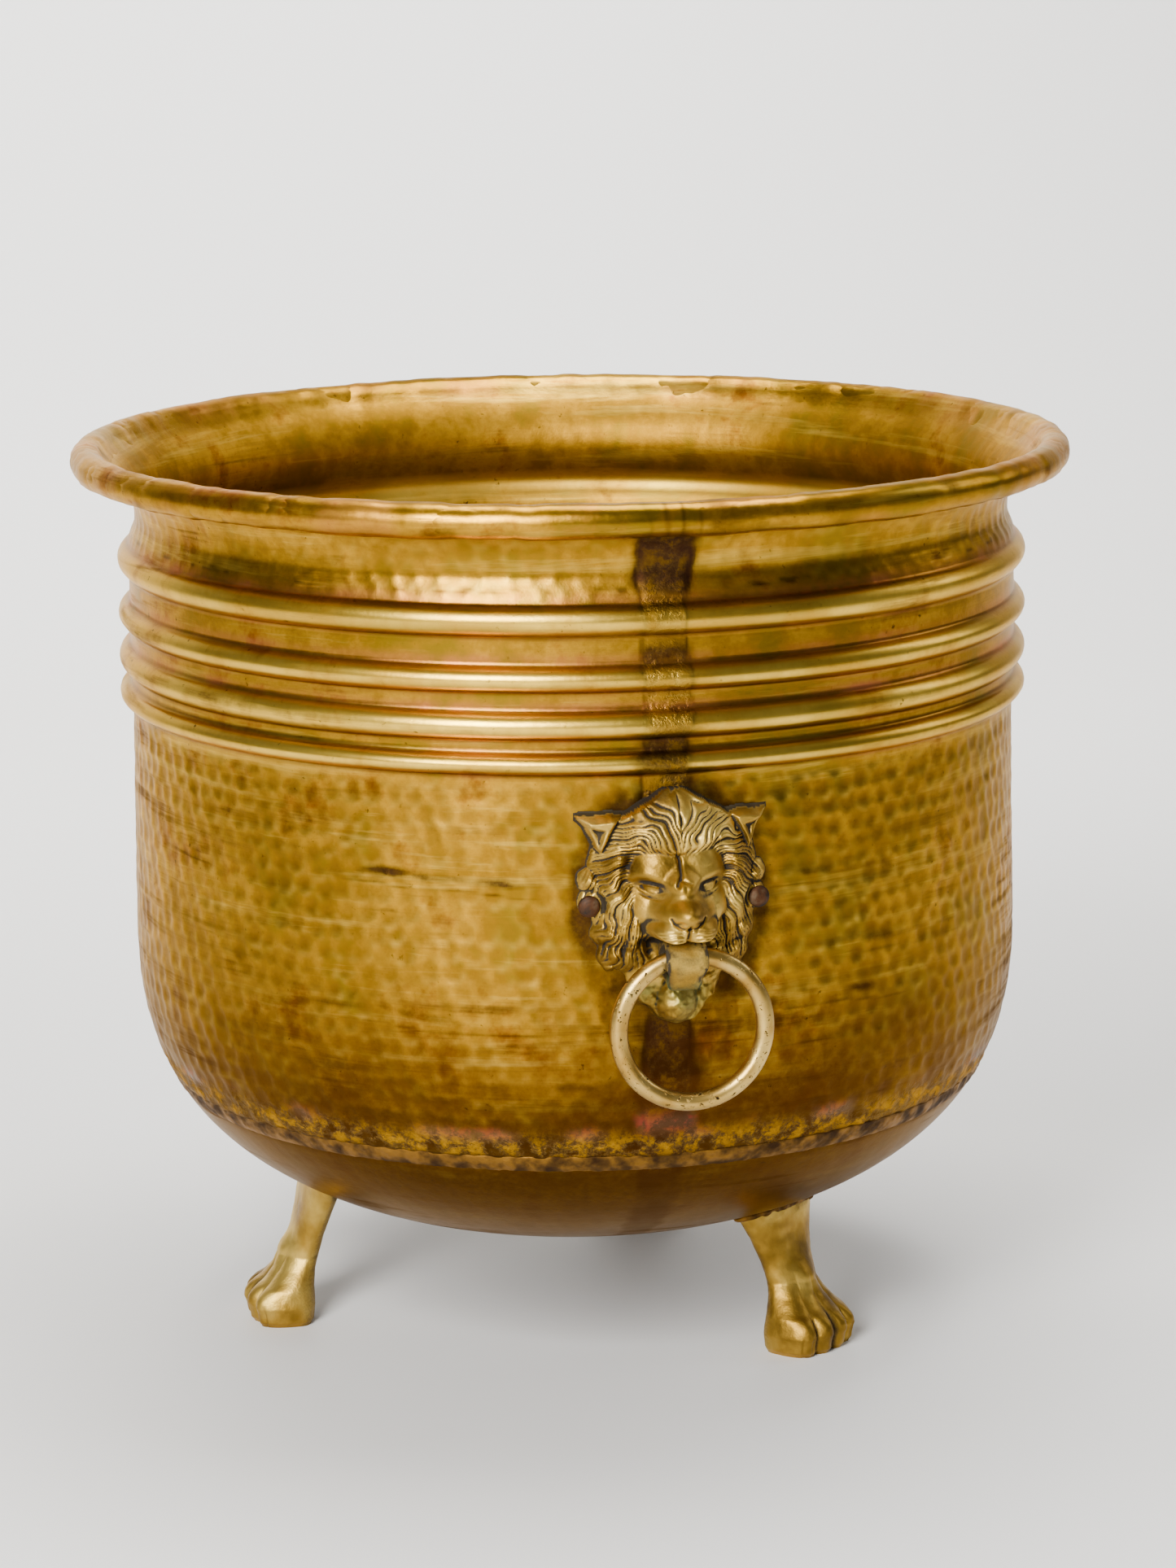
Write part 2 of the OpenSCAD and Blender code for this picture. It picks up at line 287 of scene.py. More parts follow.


# Sand-cast brass: poured in a mould and filed only where it shows. Fine pebbled skin, pale where rubbed,
# nearly black in the hollows where wax and polish have collected, with painted shade in the lions' mouths,
# under their brows and on the backs of the paws, green where water stands.
def makeCastBrass():
    look = {
        "rubbed": "#cfae54", "skin": "#a07c2c", "shade": "#694d18",
        "hollow": "#120c06", "verdigris": "#3f5630",
        "sand": 0.9, "drift": 26.3,    # mm, size of the moulding sand's print and of the patches of colour
    }
    material, tree = newMaterial("sandCastBrass")
    objectPlace = addNode(tree, "TexCoord").outputs["Object"]
    hollow = addNode(tree, "Attribute", {"attribute_name": "hollow"}).outputs["Fac"]
    damp = addNode(tree, "Attribute", {"attribute_name": "damp"}).outputs["Fac"]
    drift = addNode(tree, "TexNoise", {"Scale": 1000 / look["drift"], "Detail": 4.0},
                    {"Vector": objectPlace})
    stops = [(0.34, look["shade"]), (0.48, look["skin"]), (0.66, look["rubbed"])]
    base = addNode(tree, "ValToRGB", {"stops": stops}, {"Fac": drift.outputs["Fac"]})
    sand = addNode(tree, "TexNoise", {"Scale": 1000 / look["sand"], "Detail": 3.0}, {"Vector": objectPlace})
    # hollows darken with wax and dirt, and with painted shade where the sculpts mark it
    dirtAndShade = addNode(tree, "Math", {"operation": "MULTIPLY_ADD", 1: 0.35}, {0: sand.outputs["Fac"], 2: hollow})
    dirtAndShade = addNode(tree, "MapRange", {"From Min": 0.34, "From Max": 0.80, "To Max": 0.96},
                   {"Value": dirtAndShade.outputs[0]}).outputs["Result"]
    colour = addNode(tree, "Mix", {"data_type": "RGBA", 7: toLinear(look["hollow"])},
                     {0: dirtAndShade, 6: base.outputs["Color"]}).outputs[2]
    dampSum = addNode(tree, "Math", {"operation": "MULTIPLY"}, {0: damp, 1: drift.outputs["Fac"]})
    dampMask = addNode(tree, "MapRange", {"From Min": 0.38, "From Max": 0.58, "To Max": 0.6},
                       {"Value": dampSum.outputs[0]})
    colour = addNode(tree, "Mix", {"data_type": "RGBA", 7: toLinear(look["verdigris"])},
                     {0: dampMask.outputs["Result"], 6: colour}).outputs[2]
    rough = addNode(tree, "MapRange", {"To Min": 0.46, "To Max": 0.80}, {"Value": dirtAndShade})
    metal = addNode(tree, "MapRange", {"To Min": 1.0, "To Max": 0.35}, {"Value": dirtAndShade})
    sandPrint = addNode(tree, "Bump", {"Strength": 0.22, "Distance": 0.0005},
                        {"Height": sand.outputs["Fac"]})
    shader = addNode(tree, "BsdfPrincipled", {}, {
        "Base Color": colour, "Metallic": metal.outputs["Result"], "Roughness": rough.outputs["Result"],
        "Normal": sandPrint.outputs["Normal"]})
    addNode(tree, "OutputMaterial", {}, {"Surface": shader.outputs["BSDF"]})
    return material


# Drawn brass rod, bent and closed into a ring: pale satin from handling, with open corrosion pits.
def makeRodBrass():
    look = {"worn": "#cfae62", "warm": "#a8823a", "pit": "#2e2010", "pitSize": 2.0, "drift": 22.2}   # mm
    material, tree = newMaterial("drawnBrassRod")
    objectPlace = addNode(tree, "TexCoord").outputs["Object"]
    drift = addNode(tree, "TexNoise", {"Scale": 1000 / look["drift"], "Detail": 5.0},
                    {"Vector": objectPlace})
    base = addNode(tree, "ValToRGB", {"stops": [(0.36, look["warm"]), (0.56, look["worn"])]},
                   {"Fac": drift.outputs["Fac"]})
    pit = addNode(tree, "TexNoise", {"Scale": 1000 / look["pitSize"], "Detail": 3.0, "Roughness": 0.7},
                  {"Vector": objectPlace})
    pitMask = addNode(tree, "MapRange", {"From Min": 0.60, "From Max": 0.68}, {"Value": pit.outputs["Fac"]})
    colour = addNode(tree, "Mix", {"data_type": "RGBA", 7: toLinear(look["pit"])},
                     {0: pitMask.outputs["Result"], 6: base.outputs["Color"]}).outputs[2]
    rough = addNode(tree, "MapRange", {"To Min": 0.36, "To Max": 0.7}, {"Value": pitMask.outputs["Result"]})
    dent = addNode(tree, "Bump", {"Strength": 0.5, "Distance": 0.0005, "invert": True},
                   {"Height": pitMask.outputs["Result"]})
    shader = addNode(tree, "BsdfPrincipled", {"Metallic": 1.0}, {
        "Base Color": colour, "Roughness": rough.outputs["Result"], "Normal": dent.outputs["Normal"]})
    addNode(tree, "OutputMaterial", {}, {"Surface": shader.outputs["BSDF"]})
    return material


# Brazing spelter: melted filler and burnt flux, left as it froze. Dull gold lumps in a brown crust.
def makeSpelter():
    look = {"bead": "#80591c", "crust": "#553a14", "burnt": "#38230d", "lump": 7.8}   # lump in mm
    material, tree = newMaterial("brazingSpelter")
    objectPlace = addNode(tree, "TexCoord").outputs["Object"]
    lump = addNode(tree, "TexNoise", {"Scale": 1000 / look["lump"], "Detail": 4.0}, {"Vector": objectPlace})
    stops = [(0.34, look["burnt"]), (0.46, look["crust"]), (0.62, look["bead"])]
    base = addNode(tree, "ValToRGB", {"stops": stops}, {"Fac": lump.outputs["Fac"]})
    rough = addNode(tree, "MapRange", {"From Min": 0.4, "From Max": 0.65, "To Min": 0.75, "To Max": 0.50},
                    {"Value": lump.outputs["Fac"]})
    lumpBump = addNode(tree, "Bump", {"Strength": 0.6, "Distance": 0.0012}, {"Height": lump.outputs["Fac"]})
    shader = addNode(tree, "BsdfPrincipled", {"Metallic": 0.9}, {
        "Base Color": base.outputs["Color"], "Roughness": rough.outputs["Result"],
        "Normal": lumpBump.outputs["Normal"]})
    addNode(tree, "OutputMaterial", {}, {"Surface": shader.outputs["BSDF"]})
    return material


# Black wrought iron: hammered hot, scaled over and lightly rusted. Dark and matt with brown blooms.
def makeIron():
    look = {"scale": "#241c15", "rust": "#4b2c14", "worn": "#5c4a36", "bloom": 6.0}   # bloom in mm
    material, tree = newMaterial("blackWroughtIron")
    objectPlace = addNode(tree, "TexCoord").outputs["Object"]
    bloom = addNode(tree, "TexNoise", {"Scale": 1000 / look["bloom"], "Detail": 5.0},
                    {"Vector": objectPlace})
    stops = [(0.38, look["scale"]), (0.54, look["rust"]), (0.68, look["worn"])]
    base = addNode(tree, "ValToRGB", {"stops": stops}, {"Fac": bloom.outputs["Fac"]})
    rough = addNode(tree, "MapRange", {"To Min": 0.42, "To Max": 0.75}, {"Value": bloom.outputs["Fac"]})
    skin = addNode(tree, "Bump", {"Strength": 0.4, "Distance": 0.0006}, {"Height": bloom.outputs["Fac"]})
    shader = addNode(tree, "BsdfPrincipled", {"Metallic": 0.75}, {
        "Base Color": base.outputs["Color"], "Roughness": rough.outputs["Result"],
        "Normal": skin.outputs["Normal"]})
    addNode(tree, "OutputMaterial", {}, {"Surface": shader.outputs["BSDF"]})
    return material


hammeredBrass = makeHammeredBrass()
castBrass = makeCastBrass()
rodBrass = makeRodBrass()
spelter = makeSpelter()
iron = makeIron()
print("materials made")


# pot profile, in millimetres

profile = {
    "rimRadius": cadBox[1].x / mm, "potHeight": cadBox[1].z / mm, "rollRadius": 8.0, "sheet": 1.6,
    "neckRadius": 201.0, "neckHeight": 380.0, "shoulder": 12.0, "flatRadius": 204.3,
    "chestRadius": 203.7, "chestHeight": 290.0,
    "bellyRadius": 204.9, "curveHeight": 188.6, "bowlDrop": 139.9, "bowlPower": 2.49,
    "seamHeight": 122.0, "joggle": 8.0,
    "ribHeights": (361.0, 336.0, 316.0, 299.5), "ribWidths": (13.5, 11.5, 12.4, 10.0), "ribOut": 5.2,
}


def bowlPoint(degrees):
    a = np.radians(degrees)
    power = 2 / profile["bowlPower"]
    return np.stack([profile["bellyRadius"] * np.sin(a) ** power,
                     profile["curveHeight"] - profile["bowlDrop"] * np.abs(np.cos(a)) ** power], -1)


def ribRise(z):
    rise = np.zeros_like(z)
    for height, width in zip(profile["ribHeights"], profile["ribWidths"]):
        u = np.clip(np.abs(2 * (z - height) / width), 0, 1)
        rise = np.maximum(rise, profile["ribOut"] * (1 - u * u) ** 0.75)
    return rise


def ramp(u):
    return (1 - np.cos(np.pi * np.clip(u, 0, 1))) / 2


def ribbedRadius(z):
    p = profile
    neck = (p["flatRadius"] - p["neckRadius"]) * ramp((z - p["neckHeight"] + p["shoulder"]) / p["shoulder"])
    chest = (p["flatRadius"] - p["chestRadius"]) * ramp((p["chestHeight"] + 8 - z) / 8)
    return p["flatRadius"] - neck - chest + ribRise(z)


def resample(path, step):
    # even spacing along a path, so that the hammer marks get the same mesh everywhere
    lengths = np.concatenate([[0], np.cumsum(np.linalg.norm(np.diff(path, axis=0), axis=1))])
    count = max(2, int(round(lengths[-1] / step)) + 1)
    at = np.linspace(0, lengths[-1], count)
    return np.stack([np.interp(at, lengths, path[:, 0]), np.interp(at, lengths, path[:, 1])], -1)


def pathNormals(path):
    # unit normals that point out of the pot on a path that runs up its outside
    d = np.gradient(path, axis=0)
    d /= np.linalg.norm(d, axis=1)[:, None]
    return np.stack([d[:, 1], -d[:, 0]], -1)


def wallPath():
    p = profile
    lower = bowlPoint(np.arange(66.8, 90, 0.5))
    ribbed = np.arange(p["chestHeight"], p["neckHeight"] + 0.1, 0.5)
    ribbed = np.stack([ribbedRadius(ribbed), ribbed], -1)
    centre = np.array([p["rimRadius"] - p["rollRadius"], p["potHeight"] - p["rollRadius"]])
    core = p["rollRadius"] - p["sheet"]
    start = math.radians(150)
    flareEnd = centre + core * np.array([math.cos(start), math.sin(start)])
    flareIn = np.array([math.sin(start), -math.cos(start)])
    a = np.array([p["neckRadius"], p["neckHeight"] + 1])
    b = np.array([p["neckRadius"], p["neckHeight"] + 15])
    c = flareEnd - 10 * flareIn
    u = np.linspace(0.02, 0.98, 40)[:, None]
    flare = a * (1 - u) ** 3 + 3 * b * u * (1 - u) ** 2 + 3 * c * u * u * (1 - u) + flareEnd * u ** 3
    turn = np.radians(np.arange(150, -161, -4))
    roll = centre + core * np.stack([np.cos(turn), np.sin(turn)], -1)
    return np.concatenate([lower, ribbed, flare, roll])


# hammer marks

hammer = {
    "pitch": 10.2, "row": 8.6, "radius": 5.3,   # mm between marks, between rows, and of one mark
    "depth": 0.85,                              # mm
    "wander": 1.5,                              # mm, how far a blow lands from its place
    "seed": 5,
}


def hammerMarks(along, up, radius, s):
    # depth of the mark at each point, then painted shade along its upper lip and a painted highlight on
    # its lower crest, all from 0 to 1; later blows cut into earlier ones
    count = int(round(2 * math.pi * radius / s["pitch"]))
    pitch = 2 * math.pi * radius / count
    rng = np.random.default_rng(s["seed"])
    rows = 64
    shift = rng.uniform(-1, 1, (rows, count, 2)) * s["wander"]
    size = s["radius"] * rng.uniform(0.80, 1.10, (rows, count))
    strength = rng.uniform(0.60, 1.0, (rows, count)) * rng.uniform(0.8, 1.0, (rows, 1))
    order = rng.random((rows, count))
    best = np.full(along.shape, -1.0)
    depth, lip, crest = np.zeros(along.shape), np.zeros(along.shape), np.zeros(along.shape)
    row0 = np.floor(up / s["row"]).astype(int)
    for rowStep in (-1, 0, 1, 2):
        row = row0 + rowStep
        slide = 0.5 * (row % 2) + 0.17 * (row % 5)
        column0 = np.floor(along / pitch - slide).astype(int)
        for columnStep in (-1, 0, 1, 2):
            column = column0 + columnStep
            key = (row % rows, column % count)
            du = along - (column + slide) * pitch - shift[key][..., 0]
            dv = up - row * s["row"] - shift[key][..., 1]
            near = (du * du + dv * dv) / size[key] ** 2
            wins = (near < 1) & (order[key] > best)
            edge = smoothStep(0.45, 0.95, near) * strength[key]
            height = dv / size[key]
            depth = np.where(wins, strength[key] * (1 - near ** 2) ** 0.8, depth)
            # painted shade along the upper lip
            lip = np.where(wins, edge * smoothStep(0.1, 0.8, height), lip)
            # painted highlight on the lower crest
            crest = np.where(wins, edge * smoothStep(0.0, -0.8, height - 0.3 * du / size[key]), crest)
            best = np.where(wins, order[key], best)
    # the ridges between marks are rounded over, not sharp
    rounded = []
    for mark in (depth, lip, crest):
        for axis in (0, 1):
            mark = (np.roll(mark, 1, axis) + 2 * mark + np.roll(mark, -1, axis)) / 4
        rounded.append(mark)
    return rounded


# wall: one sheet, seam down the front, rim rolled over its wire

wall = {
    "columns": 960,             # round the pot
    "outsideStep": 1.4, "insideStep": 5.0,   # mm of mesh up the sheet
    "seamAngle": -0.8, "seamWidth": 20.0, "seamRise": 0.55,   # degrees from the front, mm, mm
    "outOfRound": 0.5, "rimWander": 1.0,     # mm
}


def ringPoints(path, normals, angles, lift):
    # turns a path round the axis; angle 0 faces -Y and grows towards +X
    r = path[:, None, 0] + normals[:, None, 0] * lift
    z = path[:, None, 1] + normals[:, None, 1] * lift
    return np.stack([r * np.sin(angles), -r * np.cos(angles), z], -1)


def seamDistance(angles):
    # mm round the pot from the middle of the seam
    turn = (angles - math.radians(wall["seamAngle"]) + np.pi) % (2 * np.pi) - np.pi
    return turn * profile["bellyRadius"]


def maskDistance(angles, z):
    # rough distance in mm from the nearest mask's edge
    fromFront = np.abs((angles + np.pi) % (2 * np.pi) - np.pi)
    fromBack = np.abs(angles % (2 * np.pi) - np.pi)
    across = np.minimum(fromFront, fromBack) * profile["bellyRadius"] / 42.0
    along = (z - 240.0) / 50.0
    return (np.sqrt(across ** 2 + along ** 2) - 1) * 44.0


# old oxide smears on the wall: height in mm, from and to in degrees round the pot, strength
smears = ((249, -44, -14, 1.0), (244, 8, 34, 0.8), (187, -52, -8, 0.8),
          (190, 6, 40, 0.7), (160, -30, 10, 0.6), (212, 14, 52, 0.5))


def sheetLayers(flat, angles, z, inside):
    # masks that the hammered brass material reads
    p = profile
    turn = np.degrees((angles + np.pi) % (2 * np.pi) - np.pi)
    outer = np.where(inside, 0, 1)
    seam = np.abs(seamDistance(angles) + noiseField(flat, 9.0, 31) * 2.5)
    wavy = 0.5 + 0.5 * noiseField(flat, 16.0, 33, 2)

    # heat stains: patches along the seam, and a halo round each mask
    zones = 0.25 + 0.95 * bell(z - 388, 17) + 0.6 * bell(z - 305, 9)
    zones += 1.1 * smoothStep(198, 180, z) + 0.5 * bell(z - 347, 5)
    ragged = 0.5 + 0.5 * noiseField(flat * np.array([1, 1, 0.35]), 7.0, 55, 2)
    stain = bell(np.maximum(seam - 7, 0), 3.0 + 11 * wavy * ragged)
    stain *= zones * (0.30 + 0.6 * wavy + 0.3 * ragged)
    halo = bell(np.maximum(maskDistance(angles, z) + 2, 0), 5.0 + 6 * wavy) * (0.35 + 0.6 * wavy)
    stain = np.maximum(stain, 0.72 * halo)
    broken = smoothStep(-0.35, 0.45, noiseField(flat * np.array([1, 1, 2.2]), 15.0, 43, 2))
    for height, start, end, strength in smears:
        middle, half = (start + end) / 2, (end - start) / 2
        drop = height + 2.5 * np.sin(turn / 9) + 0.05 * (turn - middle) + 1.5 * noiseField(flat, 22.0, 45)
        along = smoothStep(1.0, 0.6, np.abs(turn - middle) / half)
        stain = np.maximum(stain, strength * 0.65 * along * broken * bell(z - drop, 2.4))
        stain = np.maximum(stain, strength * 0.4 * along * bell(z - drop + 5.5, 0.7))

    # copper-red bands, painted shade as dark lines in the grooves between the ribs, and broken dark dashes
    # at the foot of the neck
    groove = np.zeros_like(z)
    for height, width in zip(p["ribHeights"], p["ribWidths"]):
        groove = np.maximum(groove, bell(np.abs(z - height) - width / 2 - 0.4, 1.2))
    patches = smoothStep(0.3, 0.75, 0.5 + 0.5 * noiseField(flat, 45.0, 35, 2))
    bands = bell(z - 370.0, 2.4) + bell(z - 344.5, 2.2) + bell(z - 324.2, 2.0)
    dashes = smoothStep(0.1, 0.5, noiseField(flat * np.array([1, 1, 3]), 5.0, 47)) * bell(z - 373.5, 1.2)

    # painted shade darkening the wall towards the bottom; filler crumbs and red lead in the joints
    soot = smoothStep(228, 125, z) * 0.86 * (0.85 + 0.3 * noiseField(flat, 60.0, 49))
    crumbs = bell(z - 127.5 + 2.5 * noiseField(flat, 14.0, 37, 2), 6.5)
    strip = smoothStep(10.5, 7.5, seam) * (0.10 + 0.60 * wavy) * (1 - 0.6 * smoothStep(0.5, 1.0, zones))
    primer = bell(z - 134, 3.4) * smoothStep(-0.05, 0.35, noiseField(flat, 26.0, 39, 2))
    primer = np.maximum(primer, 0.9 * bell(z - 139, 5.0) * smoothStep(17, 11, seam))
    return {
        "stain": np.clip(stain, 0, 1.3) * outer,
        "redden": np.clip((0.4 * groove + bands) * (0.4 + 0.6 * patches), 0, 1) * outer,
        "soot": np.clip(soot, 0, 1) * outer,
        "spelter": np.maximum(crumbs, strip) * outer,
        "primer": primer * outer,
        "inside": 1.0 - outer + 0 * z,
        # dark lines in the rib grooves here are painted shade
        "groove": np.maximum(0.75 * groove, dashes) * outer,
        # the rib tops get a painted highlight
        "ribTopHighlight": ribRise(z) / p["ribOut"],
        "seamEdge": bell(seam - wall["seamWidth"] / 2, 0.9) * outer,
    }


def buildWall():
    p = profile
    outside = resample(wallPath(), wall["outsideStep"])
    normals = pathNormals(outside)
    insideSource = outside - normals * p["sheet"]
    keep = resample(insideSource[::-1], wall["insideStep"])
    insideNormals = -pathNormals(keep)
    path = np.concatenate([outside, keep])
    outward = np.concatenate([normals, insideNormals])
    inside = np.concatenate([np.zeros(len(outside), bool), np.ones(len(keep), bool)])[:, None]
    # whether each row of the sheet is part of the roll
    rimCentre = np.array([p["rimRadius"] - p["rollRadius"], p["potHeight"] - p["rollRadius"]])
    onRoll = smoothStep(14, 9, np.linalg.norm(path - rimCentre, axis=1))[:, None]
    angles = np.linspace(0, 2 * np.pi, wall["columns"], endpoint=False)[None, :]
    z = path[:, None, 1] + 0 * angles
    flat = ringPoints(path, outward, angles, 0 * z)
    arc = angles * p["bellyRadius"] + 0 * z

    ribZone = smoothStep(288, 294, z) * smoothStep(373, 367, z)
    marks = hammerMarks(arc, z + 1.5 * noiseField(flat, 70.0, 3), p["bellyRadius"], hammer)
    fade = (1 - ribZone) * (1 - 0.45 * smoothStep(362, 368, z)) * (1 - 0.5 * onRoll)
    fade = fade * (0.72 + 0.28 * smoothStep(-0.5, 0.25, noiseField(flat, 55.0, 7, 2)))
    blow, lip, crest = (mark * fade for mark in marks)
    seam = seamDistance(angles) + 1.4 * noiseField(flat, 8.0, 11, 2)
    lap = smoothStep(0, 1.5, wall["seamWidth"] / 2 - np.abs(seam)) * (1 - onRoll)
    crust = 0.5 + 0.5 * noiseField(flat, 3.2, 13, 2)
    trueZone = smoothStep(-14, 2, maskDistance(angles, z))
    lift = -hammer["depth"] * blow * (1 - 0.7 * lap)
    lift += wall["outOfRound"] * noiseField(flat, 120.0, 15)
    lift += 0.12 * noiseField(flat, 18.0, 17)
    lift *= trueZone
    lift += lap * wall["seamRise"] * (0.45 + 0.55 * crust) * (1 - 0.6 * ribZone) * (~inside)
    # crumbly braze above the lower edge
    crumbBand = bell(z - 129 + 2.5 * noiseField(flat, 14.0, 37, 2), 5.0) * (~inside)
    lift += crumbBand * 0.7 * np.clip(noiseField(flat, 4.0, 19, 2) + 0.2, 0, 1)
    # knocks and wrinkles along the rim, always inwards so that the rim keeps its size
    knocks = noiseField(flat * np.array([1, 1, 0.2]), 26.0, 21, 2)
    knocks += 0.8 * noiseField(flat * np.array([1, 1, 0.5]), 9.0, 23)
    lift -= onRoll * wall["rimWander"] * np.clip(0.35 + 0.65 * knocks, 0, 1.2) * (~inside | (onRoll > 0))
    lift = np.where(onRoll > 0.02, np.minimum(lift, -0.05), lift)
    # the same push moves the sheet's inside face a little less than its outside
    lift = np.where(inside & (onRoll < 0.02), lift * 0.8, lift)
    rollOutside = (inside[:, 0] & (onRoll[:, 0] > 0))
    outward = np.where(rollOutside[:, None], -outward, outward)
    points = ringPoints(path, outward, angles, lift)
    layers = sheetLayers(flat, angles + 0 * z, z, inside & (onRoll < 0.5))
    # painted shade in the rib grooves joins the seam's dark joint lines; a painted highlight on the rib tops
    # joins the marks' lower crests
    grooveShadeAndSeamLines = np.maximum(layers.pop("groove"), 0.9 * layers.pop("seamEdge"))
    ribHighlights = layers.pop("ribTopHighlight") * (0.55 + 0.45 * smoothStep(-0.3, 0.5, noiseField(flat, 40.0, 51)))
    layers["blow"] = blow
    layers["lip"] = np.maximum(lip * ~inside, grooveShadeAndSeamLines)
    layers["crest"] = np.maximum(crest * ~inside, ribHighlights)
    layers["inside"] = layers["inside"] * (1 - onRoll)
    knocked = smoothStep(0.1, 0.6, noiseField(flat, 16.0, 25, 2))
    layers["stain"] = layers["stain"] * (1 - 0.7 * onRoll) + onRoll * 0.34 * knocked
    layers["spelter"] = layers["spelter"] * (1 - onRoll)
    # only a pair of thin lines shows where the seam passes over the rim
    pair = bell(np.abs(seamDistance(angles) + 0.8 * noiseField(flat, 9.0, 53)) - 3.2, 0.7) * onRoll
    layers["lip"] = np.maximum(layers["lip"] * (1 - 0.6 * onRoll), 0.8 * pair)
    reddened = smoothStep(0.0, 0.5, noiseField(flat, 30.0, 27, 2))
    layers["redden"] = np.clip(layers["redden"] + onRoll * 0.35 * reddened, 0, 1)
    faces = gridFaces(len(path), wall["columns"], wrapRows=True)
    piece = meshPiece("potWall", points.reshape(-1, 3), faces[:, ::-1], layers)
    return place(piece, "pot", "hammered_brass", hammeredBrass, "wall")


potWall = buildWall()
print("wall built:", len(potWall.data.polygons), "faces")


# bowl: dished sheet, its edge lapped inside the wall

bowl = {"columns": 560, "outsideStep": 2.2, "insideStep": 4.5}


def buildBowl():
    p = profile
    degrees = np.linspace(0.02, 72, 200)
    outside = bowlPoint(degrees)
    normals = pathNormals(outside)
    stepIn = (p["sheet"] + 0.05) * ramp((outside[:, 1] - p["seamHeight"] + p["joggle"]) / p["joggle"])
    outside = resample(outside - normals * stepIn[:, None], bowl["outsideStep"])
    normals = pathNormals(outside)
    insidePath = outside - normals * p["sheet"]
    insidePath[:, 0] = np.maximum(insidePath[:, 0], outside[0, 0])
    insidePath = resample(insidePath[::-1], bowl["insideStep"])
    path = np.concatenate([outside, insidePath])
    outward = np.concatenate([normals, -pathNormals(insidePath)])
    inside = np.concatenate([np.zeros(len(outside), bool), np.ones(len(insidePath), bool)])[:, None]
    angles = np.linspace(0, 2 * np.pi, bowl["columns"], endpoint=False)[None, :]
    z = path[:, None, 1] + 0 * angles
    flat = ringPoints(path, outward, angles, 0 * z)
    climb = np.concatenate([[0], np.cumsum(np.linalg.norm(np.diff(path, axis=0), axis=1))])
    climb = climb[:, None] + 0 * angles
    shrink = np.clip(path[:, 0] / 190, 0.15, 1)[:, None]
    gentle = dict(hammer, depth=0.2, seed=9)
    blow = hammerMarks(angles * 190 + 0 * z, climb, 190.0, gentle)[0] * smoothStep(0.45, 0.8, shrink) * 0.6
    lift = -gentle["depth"] * blow + 0.35 * noiseField(flat, 90.0, 41) * shrink
    lift = np.where(z > p["seamHeight"] - 1, np.minimum(lift, 0), lift)
    points = ringPoints(path, outward, angles, lift)
    layers = sheetLayers(flat, angles + 0 * z, z, inside)
    for unused in ("groove", "ribTopHighlight", "seamEdge"):
        layers.pop(unused)
    layers.update({"blow": blow, "lip": 0 * blow, "crest": 0 * blow})
    layers["stain"] = layers["stain"] * 0.5
    layers["spelter"] = layers["spelter"] * smoothStep(110, 118, z)
    # painted shade: the bowl darkens towards the bottom, a little less inside
    layers["soot"] = (0.72 + 0.28 * smoothStep(118, 84, z)) * np.where(inside, 0.6, 1)
    # one more point under the middle and one above it close the bowl
    rows, columns = len(path), bowl["columns"]
    faces = gridFaces(rows, columns)
    first, last = np.arange(columns), (rows - 1) * columns + np.arange(columns)
    bottom, top = rows * columns, rows * columns + 1
    poles = np.array([[0, 0, points[0, :, 2].mean()], [0, 0, points[-1, :, 2].mean()]])
    caps = np.concatenate([
        np.stack([np.full(columns, bottom), np.roll(first, -1), first], -1),
        np.stack([np.full(columns, top), last, np.roll(last, -1)], -1)])
    every = np.concatenate([points.reshape(-1, 3), poles])
    for layer, values in layers.items():
        values = np.ravel(values + 0 * z)
        layers[layer] = np.concatenate([values, values[:1], values[:1]])
    piece = meshPiece("potBowl", every, [faces[:, ::-1], caps[:, ::-1]], layers)
    return place(piece, "pot", "hammered_brass", hammeredBrass, "bowl")


buildBowl()
print("bowl built")


# lion masks: sculpted as heights over the wall, then cast back on to it

